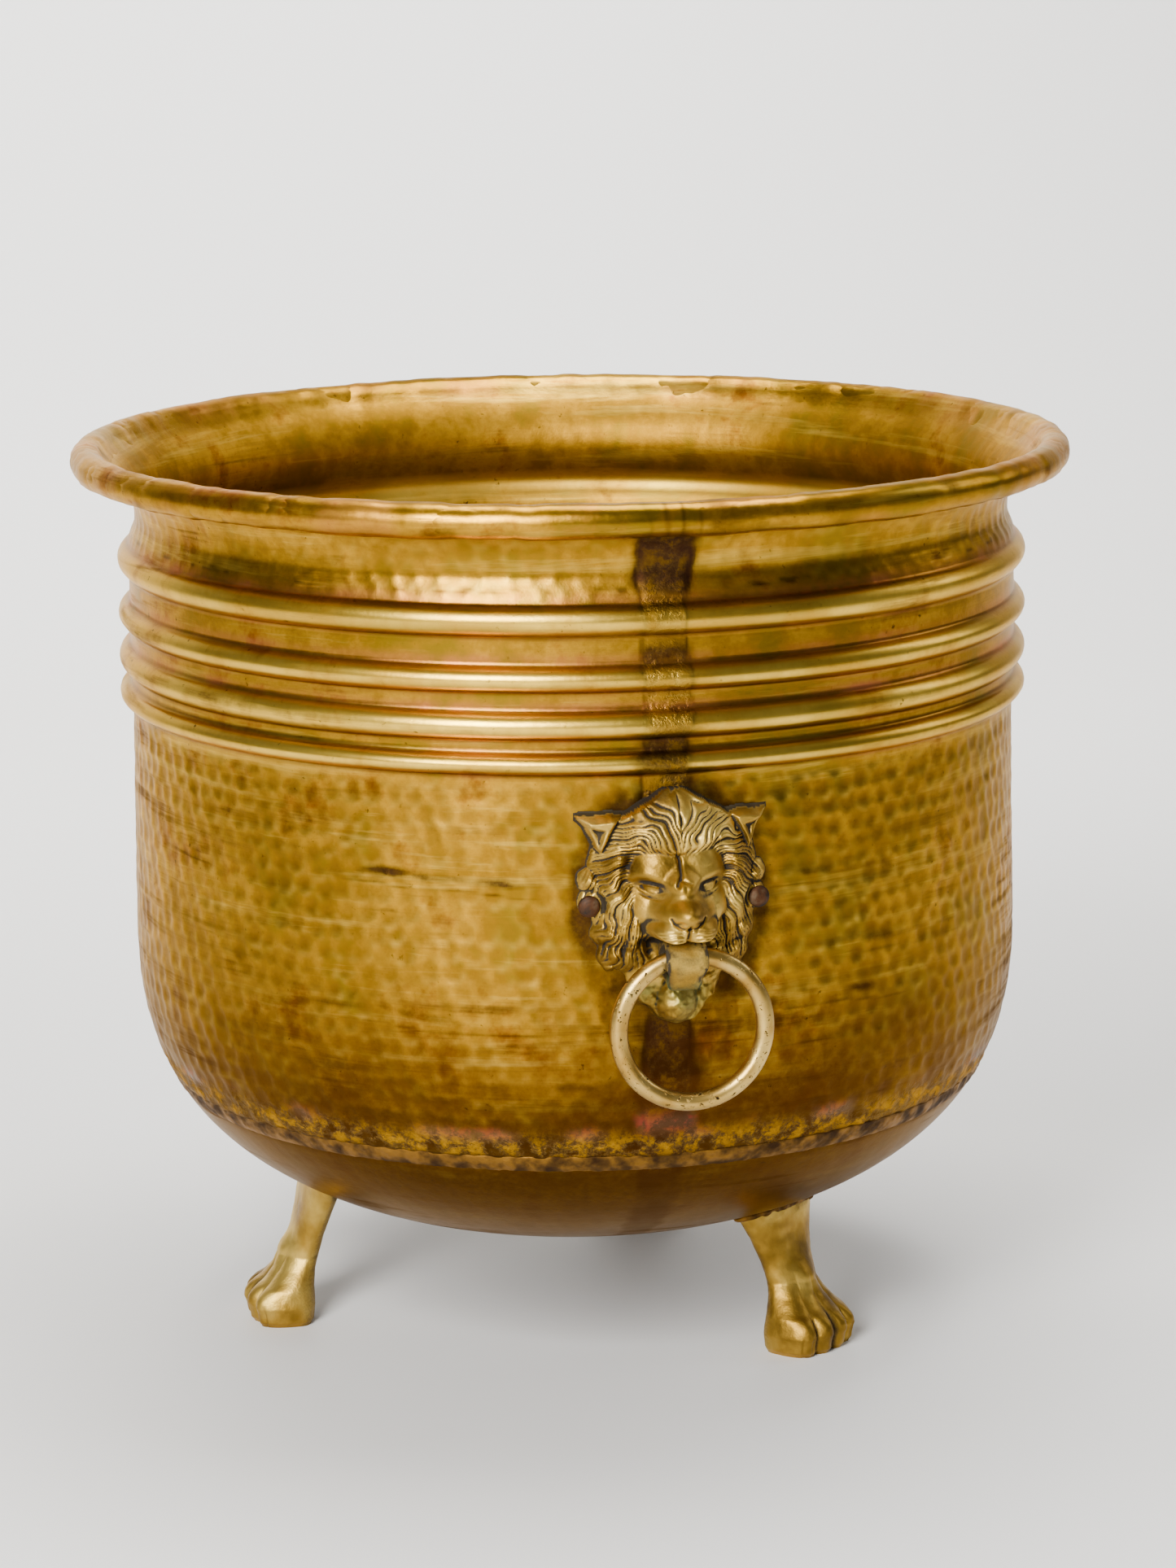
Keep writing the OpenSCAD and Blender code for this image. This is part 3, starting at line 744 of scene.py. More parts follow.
# places on the mask are (mm from its middle, height in mm), and most count for both sides
lion = {
    "grid": 0.42,                        # mm of mesh
    "wallRadius": 204.4, "sink": 1.0,    # mm, the wall it sits on and how deep its edge is let in
    # swellings: centre, half width and half height, rise over the wall, how blunt
    "skull": ((0.0, 250.0), (25.0, 25.0), 17.5, 0.62), "cheek": ((12.0, 238.0), (14.0, 16.0), 16.5, 0.8),
    "bridge": ((0, 243), (12.5, 20), 27.0, 0.75), "forehead": ((9.5, 257.5), (14.0, 12.0), 16.1, 0.75),
    "muzzle": ((0.0, 236.5), (16.5, 18.0), 33.5, 0.62), "pad": ((6.0, 229.8), (10.6, 10.2), 33.0, 0.42),
    "nose": ((0, 239.0), (9.6, 7.5), 35.3, 0.36), "chin": ((0.0, 196.0), (10.0, 11.5), 11.0, 0.6),
    # lines drawn in the face with a tool
    "brow": ((3.0, 250.2), (9.0, 251.6), (16.0, 253.8), (21.5, 252.4)),
    "nostril": ((0.3, 233.4), (3.2, 233.9), (6.0, 235.6), (7.2, 237.6)),
    "lipCleft": ((0, 234.5), (-0.4, 229.5), (-0.2, 226)),
    "furrow": ((-2.2, 264.5), (-0.6, 259.5), (-1.0, 254.0), (-3.2, 250.4)),
    "frown": ((-1.0, 252.5), (2.6, 251.2)),
    "eye": (12.6, 248.2),
    # hanging locks of the outline: place and radius
    "lockEnds": ((28.0, 226.5, 8.0), (26.5, 217.5, 7.0), (21.0, 216.0, 8.0), (27.5, 211.8, 2.6)),
    "locks": 10, "strandsPerLock": 4,    # on each side of the head
    "maneRise": 9.5, "edgeRise": 3.6,    # mm
    "rivetPad": (36.6, 239.5), "rivetPadRise": 4.6,
    "earTip": (39.8, 277.2), "earTop": (24.0, 277.0), "earLow": (32.0, 261.0), "earRise": 8.5,
    "earHollow": ((38.0, 274.5), (29.5, 272.5), (32.5, 262.5)),
}


def ovalInside(u, z, centre, size):
    # 1 in the middle, 0 on the edge of an oval, and below 0 outside it
    return 1 - np.sqrt(((u - centre[0]) / size[0]) ** 2 + ((z - centre[1]) / size[1]) ** 2)


def dome(inside, rise, power=0.5):
    i = np.clip(inside, 0, 1)
    return rise * (1 - (1 - i) ** 2) ** power


def softMax(a, b, blendWidth):
    h = np.clip(0.5 + 0.5 * (a - b) / blendWidth, 0, 1)
    return b * (1 - h) + a * h + blendWidth * h * (1 - h)


def triangleDistance(u, z, a, b, c):
    # mm to the nearest side, positive inside a triangle
    inside = np.full(u.shape, 99.0)
    turn = np.sign((b[0] - a[0]) * (c[1] - a[1]) - (b[1] - a[1]) * (c[0] - a[0]))
    for p, q in ((a, b), (b, c), (c, a)):
        length = math.hypot(q[0] - p[0], q[1] - p[1])
        side = turn * ((q[0] - p[0]) * (z - p[1]) - (q[1] - p[1]) * (u - p[0])) / length
        inside = np.minimum(inside, side)
    return inside


def strokeDistance(u, z, points):
    # mm to a bent line through the points
    best = np.full(u.shape, 99.0)
    for (u0, z0), (u1, z1) in zip(points[:-1], points[1:]):
        du, dz = u1 - u0, z1 - z0
        t = np.clip(((u - u0) * du + (z - z0) * dz) / (du * du + dz * dz), 0, 1)
        best = np.minimum(best, np.hypot(u - u0 - t * du, z - z0 - t * dz))
    return best


def soften(field, reach):
    # running average over a square, by sums along each way
    out = field
    for axis in (0, 1):
        padded = np.concatenate([np.repeat(np.take(out, [0], axis), reach + 1, axis), out,
                                 np.repeat(np.take(out, [-1], axis), reach, axis)], axis)
        sums = np.cumsum(padded, axis)
        size = out.shape[axis]
        upper = np.take(sums, np.arange(2 * reach + 1, 2 * reach + 1 + size), axis)
        lower = np.take(sums, np.arange(0, size), axis)
        out = (upper - lower) / (2 * reach + 1)
    return out


def swelling(u, z, name):
    centre, size, rise, bluntness = lion[name]
    return dome(ovalInside(u, z, centre, size), rise, bluntness)


def lionOutline(u, z, flat):
    # mm inside the edge of the head: crown, lobes for the rivets, hanging locks and chin
    side = np.abs(u)
    peak = 1.05 * (289.3 - z) + 1.5 - side * 0.62
    outline = np.minimum(ovalInside(u, z, (0, 247), (37.5, 45)) * 30, peak)
    outline = np.maximum(outline, 6.8 - np.hypot(side - 34.3, z - 240.0))
    outline = np.maximum(outline, 5.6 - np.hypot(side - 36.0, z - 249.5))
    for lockU, lockZ, radius in lion["lockEnds"]:
        outline = softMax(outline, radius - np.hypot(side - lockU, z - lockZ), 1.5)
    outline = softMax(outline, ovalInside(u, z, (0, 205), (20.0, 14)) * 12, 3)
    outline = softMax(outline, ovalInside(u, z, (1.0, 194.6), (11.0, 8.6)) * 9, 2)
    return outline + 0.7 * noiseField(flat, 5.0, 61, 2)


def lionHair(u, z, flat, outline):
    # locks that start at the hairline and sweep back, then fall at the sides
    s = lion
    side = np.abs(u)
    angle = np.arctan2(side, z - 246.0)             # 0 at the crown, pi at the chin
    away = np.hypot(side, z - 246.0)
    bent = angle - 0.62 * np.sin(np.clip(angle, 0, 2.7)) * (away - 24) / 16
    bent += 0.15 * noiseField(flat, 12.0, 63, 2) + 0.06 * noiseField(flat, 5.5, 65)
    bent += np.where(u < 0, 0.11, 0.0)
    lockPhase = bent * s["locks"] / np.pi
    lock = np.sin(np.pi * (lockPhase % 1)) ** 0.55
    strandPhase = lockPhase * s["strandsPerLock"] + 0.6 * noiseField(flat, 8.0, 67)
    strand = np.abs(np.sin(np.pi * strandPhase)) ** 0.6
    fineStrand = np.abs(np.sin(np.pi * (strandPhase * 2.0 + 0.4 * noiseField(flat, 6.0, 69))))
    edge = dome(np.clip(outline / 9.0, 0, 1), s["edgeRise"], 0.6)
    body = s["maneRise"] * np.clip(1 - ((away - 20) / 27) ** 2, 0, 1) * smoothStep(0, 8, outline)
    tuft = 0.8 + 0.35 * noiseField(flat, 9.0, 71)
    hair = edge + body * tuft + 2.6 * (lock - 0.5) * smoothStep(0, 4, outline)
    coarse = 0.55 + 0.75 * smoothStep(-0.5, 0.6, noiseField(flat, 7.0, 75))
    hair += (1.5 * coarse * (strand - 0.6) + 0.45 * (fineStrand - 0.5)) * smoothStep(0, 3, outline)
    # thicker over the forehead
    overhead = 15.6 * np.clip(1 - ((z - 264) / 27) ** 2, 0, 1) * smoothStep(34, 12, side)
    raised = softMax(hair, overhead + 1.4 * (strand - 0.6) + 1.2 * (lock - 0.5), 4.0)
    raised = np.where(z > 256, raised, hair)
    upper = smoothStep(254, 262, z)
    return hair, hair * (1 - upper) + raised * upper


def lionFace(u, z, flat):
    side = np.abs(u)
    face = softMax(swelling(u, z, "skull"), swelling(side, z, "cheek"), 5.0)
    face = softMax(face, swelling(u, z, "bridge"), 5.0)
    face = softMax(face, swelling(side, z, "forehead"), 4.0)
    face += 1.7 * bell(strokeDistance(side, z, lion["brow"]), 2.8)

    # eyes: socket, ball, lids above and below, and a crease under the lower lid
    eyeU, eyeZ = lion["eye"]
    across = side - eyeU
    above = (z - eyeZ) - 0.16 * across
    face -= 3.0 * np.exp(-(across / 6.4) ** 2 - (above / 3.0) ** 2)
    face += 2.9 * np.sqrt(np.clip(1 - (across / 3.4) ** 2 - (above / 2.0) ** 2, 0, 1))
    face += 1.0 * bell(above + 2.2 - 0.045 * across ** 2, 0.7) * smoothStep(6.5, 4.0, np.abs(across))
    face -= 0.8 * bell(above + 4.0 - 0.05 * across ** 2, 0.55) * smoothStep(6, 3, np.abs(across))
    face += 0.9 * bell(above - 1.5 + 0.05 * across ** 2, 0.6) * smoothStep(5.5, 3.5, np.abs(across))

    # muzzle with two pads and a broad nose
    muzzle = swelling(u, z, "muzzle") * (0.55 + 0.45 * smoothStep(256, 238, z))
    muzzle = softMax(muzzle, swelling(side, z, "pad"), 2.5)
    muzzle = softMax(muzzle, swelling(u, z, "nose"), 3.5)
    face = softMax(face, muzzle, 7.0)
    face -= 1.7 * bell(strokeDistance(side, z, lion["nostril"]), 0.65)
    face -= 1.6 * np.exp(-((side - 4.4) / 1.7) ** 2 - ((z - 236.0) / 0.9) ** 2)
    face -= 2.2 * bell(strokeDistance(u, z, lion["lipCleft"]), 0.7)
    for k in range(4):   # whisker grooves
        whiskerZ = 232.4 - 1.7 * k - 0.03 * (side - 6) ** 2 + 0.7 * noiseField(flat, 4.0, 73 + k)
        span = smoothStep(2.0, 3.2, side) * smoothStep(13.2, 11.0, side)
        face -= 0.85 * bell(z - whiskerZ, 0.48) * span
    face -= 2.2 * bell(strokeDistance(u, z, lion["furrow"]), 0.75)
    face -= 1.3 * bell(strokeDistance(u, z, lion["frown"]), 0.7)
    return face


def lionHeights(u, z):
    s = lion
    side = np.abs(u)
    flat = np.stack([u, z, 0 * u], -1)
    outline = lionOutline(u, z, flat)
    hair, hairAll = lionHair(u, z, flat, outline)

    # the hair is laid over the top of the face in a point, and meets the cheeks without a step
    hairline = 262.5 + 0.028 * side ** 2 * np.where(side < 18, 1, 0.4) + 1.2 * noiseField(flat, 4.0, 79)
    faceEdge = np.minimum(ovalInside(u, z, *s["skull"][:2]) * 25, hairline - z)
    faceEdge = np.where(z < 226.5, -99, faceEdge)
    onFace = smoothStep(-2.2, 1.6, faceEdge)
    hairUnder = hairAll - 0.55 * np.clip(faceEdge + 1.0, 0, None) - 0.6
    height = hairAll * (1 - onFace) + softMax(lionFace(u, z, flat), hairUnder, 1.2) * onFace

    # upper lip overhangs; below it the mouth falls back to the jaw and chin
    mouth = smoothStep(227.4, 223.6, z + 0.02 * u * u * (side < 14)) * smoothStep(20, 15.5, side)
    jaw = 7.0 + 2.0 * noiseField(flat, 6.0, 83, 2)
    lower = np.maximum(jaw * 0.6, swelling(u, z, "chin"))
    lower = softMax(np.minimum(hair, 8.5) * smoothStep(8, 16, side), lower, 2.0)
    lower += 0.9 * noiseField(flat, 2.6, 87, 2)
    lowerZone = smoothStep(19.5, 15.5, side + 0.10 * np.abs(z - 212)) * smoothStep(228, 223, z)
    height = height * (1 - mouth) + lower * mouth
    height = height * (1 - lowerZone) + lower * lowerZone

    # level places for the rivet heads, and room for the ring below the lip
    level = smoothStep(7.2, 5.6, np.hypot(side - s["rivetPad"][0], z - s["rivetPad"][1]))
    height = height * (1 - level) + np.minimum(height, s["rivetPadRise"] * 0.95) * level
    height = np.where(z < 223, np.minimum(height, 11.8), height)

    # ears: leaf-shaped with a rolled edge and a hollow that faces forwards
    droop = 0.9 * noiseField(flat, 6.0, 59, 2)
    ear = triangleDistance(side + droop, z - droop, s["earTip"], s["earTop"], s["earLow"]) + 1.0
    earHeight = s["earRise"] * np.clip(ear / 3.0, 0, 1) ** 0.5
    earHeight -= 3.4 * smoothStep(2.2, 4.6, triangleDistance(side, z, *s["earHollow"]) + 2.2)

    # drop to the wall outside the outline; ears stand on their own edge
    skirt = smoothStep(-0.9, 0.5, outline)
    height = height * skirt - s["sink"] * (1 - skirt)
    earSkirt = smoothStep(-0.7, 0.6, ear)
    height = np.maximum(height, earHeight * earSkirt - s["sink"] * (1 - earSkirt))
    return np.minimum(height + 0.10 * noiseField(flat, 1.5, 89, 2) * skirt, 35.2)


def buildMask(name, body, nodes, turn):
    s = lion
    across = np.arange(-42.2, 42.3, s["grid"])
    upward = np.arange(185.9, 289.2, s["grid"])
    z, u = np.meshgrid(upward, across, indexing="ij")
    height = lionHeights(u, z)
    rows, columns = u.shape
    # hollows collect dirt: how far each place lies below its surroundings, most of all in the hair
    hairShare = smoothStep(20, 25, np.hypot(u, z - 246)) * smoothStep(205, 225, z)
    hollow = (0.85 + 0.9 * hairShare) * (soften(height, 3) - height) + 0.10 * (soften(height, 10) - height)
    # painted shade in the mouth, under the upper lip
    mouth = np.exp(-(u / 10.5) ** 2 - ((z - 222.5) / 4.2) ** 2)
    # old wax left on the crown, a darker patch beside the nose on one side, and painted shade under the
    # brows
    waxAndBrowShade = 0.30 * smoothStep(262, 280, z) * (0.5 + noiseField(np.stack([u, z, 0 * u], -1), 6.0, 77, 2))
    waxAndBrowShade += 0.35 * np.exp(-((u - 8.5) / 3.5) ** 2 - ((z - 243.0) / 6.0) ** 2)
    fromEye = np.abs(u) - 12.0
    waxAndBrowShade += 0.75 * np.exp(-(fromEye / 5.0) ** 2 - ((z - 250.3 - 0.12 * fromEye) / 1.1) ** 2)
    hollow = np.clip(np.clip(hollow, 0, 1) + mouth + np.clip(waxAndBrowShade, 0, 1), 0, 1)
    damp = smoothStep(214, 200, z) * smoothStep(24, 14, np.abs(u))
    keep = height > -s["sink"] + 0.02
    cell = keep[:-1, :-1] | keep[1:, :-1] | keep[:-1, 1:] | keep[1:, 1:]
    index = np.arange(rows * columns).reshape(rows, columns)
    quads = np.stack([index[:-1, :-1], index[:-1, 1:], index[1:, 1:], index[1:, :-1]], -1)[cell]
    wallY = np.sqrt(s["wallRadius"] ** 2 - u ** 2)
    front = np.stack([u, -(wallY + height), z], -1).reshape(-1, 3)
    back = np.stack([u, -(wallY - s["sink"] - 0.25), z], -1).reshape(-1, 3)
    # walls between the two sheets, wherever a cell has no neighbour
    edges = np.concatenate([quads[:, [0, 1]], quads[:, [1, 2]], quads[:, [2, 3]], quads[:, [3, 0]]])
    key = np.sort(edges, axis=1)
    code = key[:, 0].astype(np.int64) * rows * columns + key[:, 1]
    _, first, count = np.unique(code, return_index=True, return_counts=True)
    rim = edges[first[count == 1]]
    total = rows * columns
    sides = np.stack([rim[:, 1], rim[:, 0], rim[:, 0] + total, rim[:, 1] + total], -1)
    faces = np.concatenate([quads, quads[:, ::-1] + total, sides])
    used, packed = np.unique(faces, return_inverse=True)
    points = np.concatenate([front, back])[used]
    if turn:
        points = points * np.array([-1, -1, 1])
    layers = {"hollow": np.tile(hollow.ravel(), 2)[used], "damp": np.tile(damp.ravel(), 2)[used]}
    piece = meshPiece(name, points, packed.reshape(faces.shape), layers)
    return place(piece, body, "cast_brass", castBrass, *nodes)


# the tongue curls over the ring and back under the jaw, with a clear bore for the ring
tongue = {"hinge": (223.0, 217.5), "bore": 6.3, "width": 17.0, "around": 120, "section": 32}


def buildTongue(name, body, turn):
    s = tongue
    # side view of the tongue: three rounds, each with its distance from the axis, height and radius
    circles = ((223.2, 217.5, 8.7), (221.8, 210.3, 6.7), (209.0, 214.5, 8.0))
    angles = np.linspace(0, 2 * np.pi, s["around"], endpoint=False)
    reach = np.full(s["around"], s["bore"] + 2)
    for a, b in ((0, 1), (0, 2), (1, 2)):
        for t in np.linspace(0, 1, 14):
            (y0, z0, r0), (y1, z1, r1) = circles[a], circles[b]
            y = y0 + t * (y1 - y0) - s["hinge"][0]
            z = z0 + t * (z1 - z0) - s["hinge"][1]
            r = r0 + t * (r1 - r0)
            along = y * np.cos(angles) + z * np.sin(angles)
            aside = y * np.sin(angles) - z * np.cos(angles)
            hit = along + np.sqrt(np.clip(r * r - aside * aside, 0, None))
            reach = np.where(np.abs(aside) < r, np.maximum(reach, hit), reach)
    loop = np.linspace(0, 2 * np.pi, s["section"], endpoint=False)
    squareU = np.sign(np.cos(loop)) * np.abs(np.cos(loop)) ** 0.45
    squareR = np.sign(np.sin(loop)) * np.abs(np.sin(loop)) ** 0.45
    middle, half = (reach + s["bore"]) / 2, (reach - s["bore"]) / 2
    lowerFront = smoothStep(-0.2, -0.9, np.sin(angles)) * 1.6
    width = (s["width"] / 2 + 0.8 * np.cos(angles) - lowerFront)[:, None]
    radial = middle[:, None] + half[:, None] * squareR
    u = width * squareU
    flat = np.stack([u, radial * np.cos(angles)[:, None], radial * np.sin(angles)[:, None]], -1)
    radial += np.where(squareR > 0, 0.35 * noiseField(flat * np.array([2.2, 1, 1]), 3.0, 91, 2) - 0.3, 0)
    radial = np.maximum(radial, s["bore"] - 0.05)
    points = np.stack([u, -(s["hinge"][0] + radial * np.cos(angles)[:, None]),
                       s["hinge"][1] + radial * np.sin(angles)[:, None]], -1).reshape(-1, 3)
    if turn:
        points = points * np.array([-1, -1, 1])
    hollow = np.clip(np.where(squareR < -0.2, 0.8, 0.0) + 0.25 * smoothStep(0.6, 1, np.abs(squareU)), 0, 1)
    streaked = smoothStep(-0.1, 0.5, noiseField(flat * np.array([3, 1, 1]), 4.0, 93, 2))
    hollow = hollow[None, :] + 0.35 * streaked + 0.22
    damp = smoothStep(-0.5, -1, np.sin(angles))[:, None] + 0 * hollow
    faces = gridFaces(s["around"], s["section"], wrapRows=True)
    piece = meshPiece(name, points, faces, {"hollow": hollow, "damp": damp})
    return place(piece, body, "cast_brass", castBrass)


for side, turned in (("front", False), ("back", True)):
    buildMask(side + "Lion", "pot", [side + "_mask"], turned)
for side, turned in (("front", False), ("back", True)):
    buildTongue(side + "Tongue", "pot", turned)
print("lion masks sculpted")


# rings: drawn rod bent round and closed, hanging in the tongues

ringRod = {"radius": 32.0, "rod": 4.0, "around": 220, "section": 32, "pits": 0.16}   # mm


def buildRing(name, body, node):
    s = ringRod
    low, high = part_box(node)
    middle = (Vector(low) + Vector(high)) / 2 / mm
    a = np.linspace(0, 2 * np.pi, s["around"], endpoint=False)[:, None]
    b = np.linspace(0, 2 * np.pi, s["section"], endpoint=False)[None, :]
    worn = s["rod"] - 0.12 * bell(np.angle(np.exp(1j * (a - np.pi / 2))), 0.35)
    flat = np.stack([(s["radius"] + s["rod"] * np.cos(b)) * np.cos(a), s["rod"] * np.sin(b) + 0 * a,
                     (s["radius"] + s["rod"] * np.cos(b)) * np.sin(a)], -1)
    pits = np.clip(noiseField(flat, 1.6, 95, 2) - 0.35, 0, 1) * 1.6
    rod = worn - s["pits"] * pits - 0.05 * (1 + noiseField(flat, 6.0, 97))
    points = np.stack([middle.x + (s["radius"] + rod * np.cos(b)) * np.cos(a), middle.y + rod * np.sin(b),
                       middle.z + (s["radius"] + rod * np.cos(b)) * np.sin(a)], -1)
    faces = gridFaces(s["around"], s["section"], wrapRows=True)
    piece = meshPiece(name, points.reshape(-1, 3), faces, {"pits": pits})
    return place(piece, body, "ring_brass", rodBrass, node)


for side in ("front", "back"):
    buildRing(side + "Ring", side + "_ring", side + "_ring")
print("rings bent")


# braze bead under the wall's edge: lumpy filler that ran round the joint

bead = {"columns": 1500, "rows": 16, "top": 123.4, "low": 114.5, "lump": 3.0, "rise": 0.7}   # mm


def buildBead():
    s = bead
    p = profile
    angles = np.linspace(0, 2 * np.pi, s["columns"], endpoint=False)[None, :]
    u = np.linspace(0, 1, s["rows"])[:, None]
    z = s["low"] + (s["top"] - s["low"]) * u + 0 * angles
    drop = ((p["curveHeight"] - z) / p["bowlDrop"]) ** p["bowlPower"]
    curve = p["bellyRadius"] * (1 - drop) ** (1 / p["bowlPower"])
    flat = np.stack([curve * np.sin(angles), -curve * np.cos(angles), z], -1)
    edge = np.sin(np.pi * u) ** 0.5
    wavy = 0.5 + 0.5 * noiseField(flat, 16.0, 101, 2)
    lumps = np.clip(0.35 + noiseField(flat, s["lump"], 103, 2), 0, 1)
    lumps += 0.5 * np.clip(noiseField(flat, 1.7, 105), 0, 1)
    rise = edge * (0.15 + s["rise"] * lumps * (0.3 + 0.7 * wavy)) - 0.75 * (1 - edge)
    outer = curve + rise
    outside = np.stack([outer * np.sin(angles), -outer * np.cos(angles), z], -1)
    innerR = curve[[-1, 0]] - 0.9
    inside = np.stack([innerR * np.sin(angles), -innerR * np.cos(angles), z[[-1, 0]]], -1)
    points = np.concatenate([outside, inside]).reshape(-1, 3)
    faces = gridFaces(s["rows"] + 2, s["columns"], wrapRows=True)
    piece = meshPiece("bowlBead", points, faces)
    return place(piece, "pot", "brazing", spelter, "bowl_braze")


buildBead()
print("bead laid")


# feet: cast lion paws, flat at the back, brazed under the bowl

foot = {
    "names": ("right_foot", "back_foot", "left_foot"),
    "turns": (40, 156, 270), "toes": (151, 156, 161),   # degrees round the pot, mm from its axis
    # level sections of the leg: height, how far behind the toes, width, depth
    "sections": ((0, 19, 43, 31), (9, 19, 45, 33), (17, 20.5, 42, 29), (25, 25, 33, 22),
                 (31, 28, 29, 19.5), (40, 30.5, 32, 19), (52, 34, 40, 20), (66, 38, 54, 22),
                 (84, 42.5, 72, 26), (104, 47, 90, 28)),
    "levels": 110, "around": 168, "letIn": 0.9,
}


def bowlUnderside(reach):
    # height of the bowl's outside at a distance from the axis, mm
    p = profile
    inner = 1 - np.clip(reach / p["bellyRadius"], 0, 1) ** p["bowlPower"]
    return p["curveHeight"] - p["bowlDrop"] * inner ** (1 / p["bowlPower"])


def footShape(z, a, toe):
    # plan position of the skin at height z and turn a; a = 0 faces outwards
    heights, *sizes = np.array(foot["sections"], float).T
    behind, width, depth = (np.interp(z, heights, size) for size in sizes)
    front = np.cos(a)
    square = 2 / (2.0 + 1.2 * smoothStep(30, 8, z))
    across = np.sign(np.sin(a)) * np.abs(np.sin(a)) ** square
    along = np.sign(front) * np.abs(front) ** square
    # the back of the casting is flat with a shallow hollow
    along = np.where(front < 0, along * (0.78 - 0.28 * smoothStep(0.75, 0.2, np.abs(across))
                                         * smoothStep(14, 40, z)), along)
    u = across * width / 2
    r = toe - behind + along * depth / 2
    # four toes: rounded knuckles, deep clefts, cut claws
    facing = smoothStep(-0.15, 0.35, front)
    acrossToe = (across * 2.0 + 2.0) % 1
    knuckle = np.sin(np.pi * acrossToe) ** 0.7
    low = smoothStep(27, 12, z)
    r = r + facing * low * (3.6 * (knuckle - 0.55) - 1.6 * across ** 2)
    r = r + facing * 1.9 * bell(z - 12.5, 4.2) * knuckle
    r = r - facing * 1.2 * bell(z - 19.5, 3.0) * knuckle
    claw = np.abs(acrossToe * 3 - np.round(acrossToe * 3))
    r = r - facing * 0.85 * bell(claw, 0.10) * smoothStep(11.0, 8.5, z) * smoothStep(0.2, 0.5, knuckle)
    # tendons rise from the toes to the ankle knob
    r = r + facing * 0.9 * (knuckle - 0.5) * smoothStep(40, 26, z) * (1 - low)
    r = r + 3.0 * np.exp(-((z - 33.5) / 6.5) ** 2 - (u / 8.5) ** 2) * np.clip(front, 0, 1)
    r = r - 1.2 * np.exp(-((z - 52) / 12) ** 2 - (u / 10) ** 2) * np.clip(front, 0, 1)
    u = u + 0.8 * smoothStep(24, 10, z) * np.sign(u) * knuckle * np.abs(across) ** 3
    # the sole is drawn in a little
    under = smoothStep(2.6, 0.0, z)
    r = r - 1.3 * under * front * np.abs(front)
    u = u - 1.1 * under * across
    return u, r


def buildFoot(name, node, turn, toe):
    s = foot
    a = np.linspace(0, 2 * np.pi, s["around"], endpoint=False)
    top = np.full(a.shape, 80.0)
    for _ in range(12):
        u, r = footShape(top, a, toe)
        top = 0.5 * top + 0.5 * (bowlUnderside(np.hypot(u, r)) + s["letIn"])
    t = np.linspace(0, 1, s["levels"])[:, None] ** 1.25
    z = t * top[None, :]
    u, r = footShape(z, a[None, :] + 0 * z, toe)
    flat = np.stack([u, r, z], -1) + 37.0 * turn
    rough = 0.28 * noiseField(flat, 7.0, 111, 2) + 0.10 * noiseField(flat, 2.0, 113)
    centreR = toe - np.interp(z, *np.array(s["sections"], float).T[:2])
    reach = np.hypot(u, r - centreR) + 1e-6
    damping = smoothStep(0, 1.5, z)
    u = u + rough * damping * u / reach
    r = r + rough * damping * (r - centreR) / reach
    cosine, sine = math.cos(math.radians(turn)), math.sin(math.radians(turn))
    points = np.stack([u * cosine + r * sine, u * sine - r * cosine, z], -1)
    rows, columns = z.shape
    every = points.reshape(-1, 3)
    caps = []
    for row, flip in ((0, False), (rows - 1, True)):
        middle = len(every)
        every = np.concatenate([every, points[row].mean(0)[None, :]])
        ring = row * columns + np.arange(columns)
        step = np.roll(ring, -1)
        caps.append(np.stack([np.full(columns, middle), ring, step] if flip
                             else [np.full(columns, middle), step, ring], -1))
    around = reach / (soften(reach, 3) + 1e-6)
    hollow = np.clip((1 - around) * 9, 0, 0.8)
    # painted shade on the back of the paw, which faces in under the pot
    back = smoothStep(0.1, -0.5, np.cos(a))[None, :] * 0.35
    nearJoint = smoothStep(9, 0.5, top[None, :] - z)
    burnt = 0.45 * nearJoint * smoothStep(-0.2, 0.4, noiseField(flat, 8.0, 115, 2))
    hollow = np.clip(hollow + back + burnt, 0, 1)
    layers = {"hollow": np.concatenate([hollow.ravel(), [0, 0]]), "damp": np.zeros(len(every))}
    sides = gridFaces(rows, columns)
    piece = meshPiece(name, every, [sides, np.concatenate(caps)], layers)
    place(piece, "pot", "cast_brass", castBrass, node)
    return points


collar = {"section": 14, "radius": 1.5, "lump": 3.0}   # mm


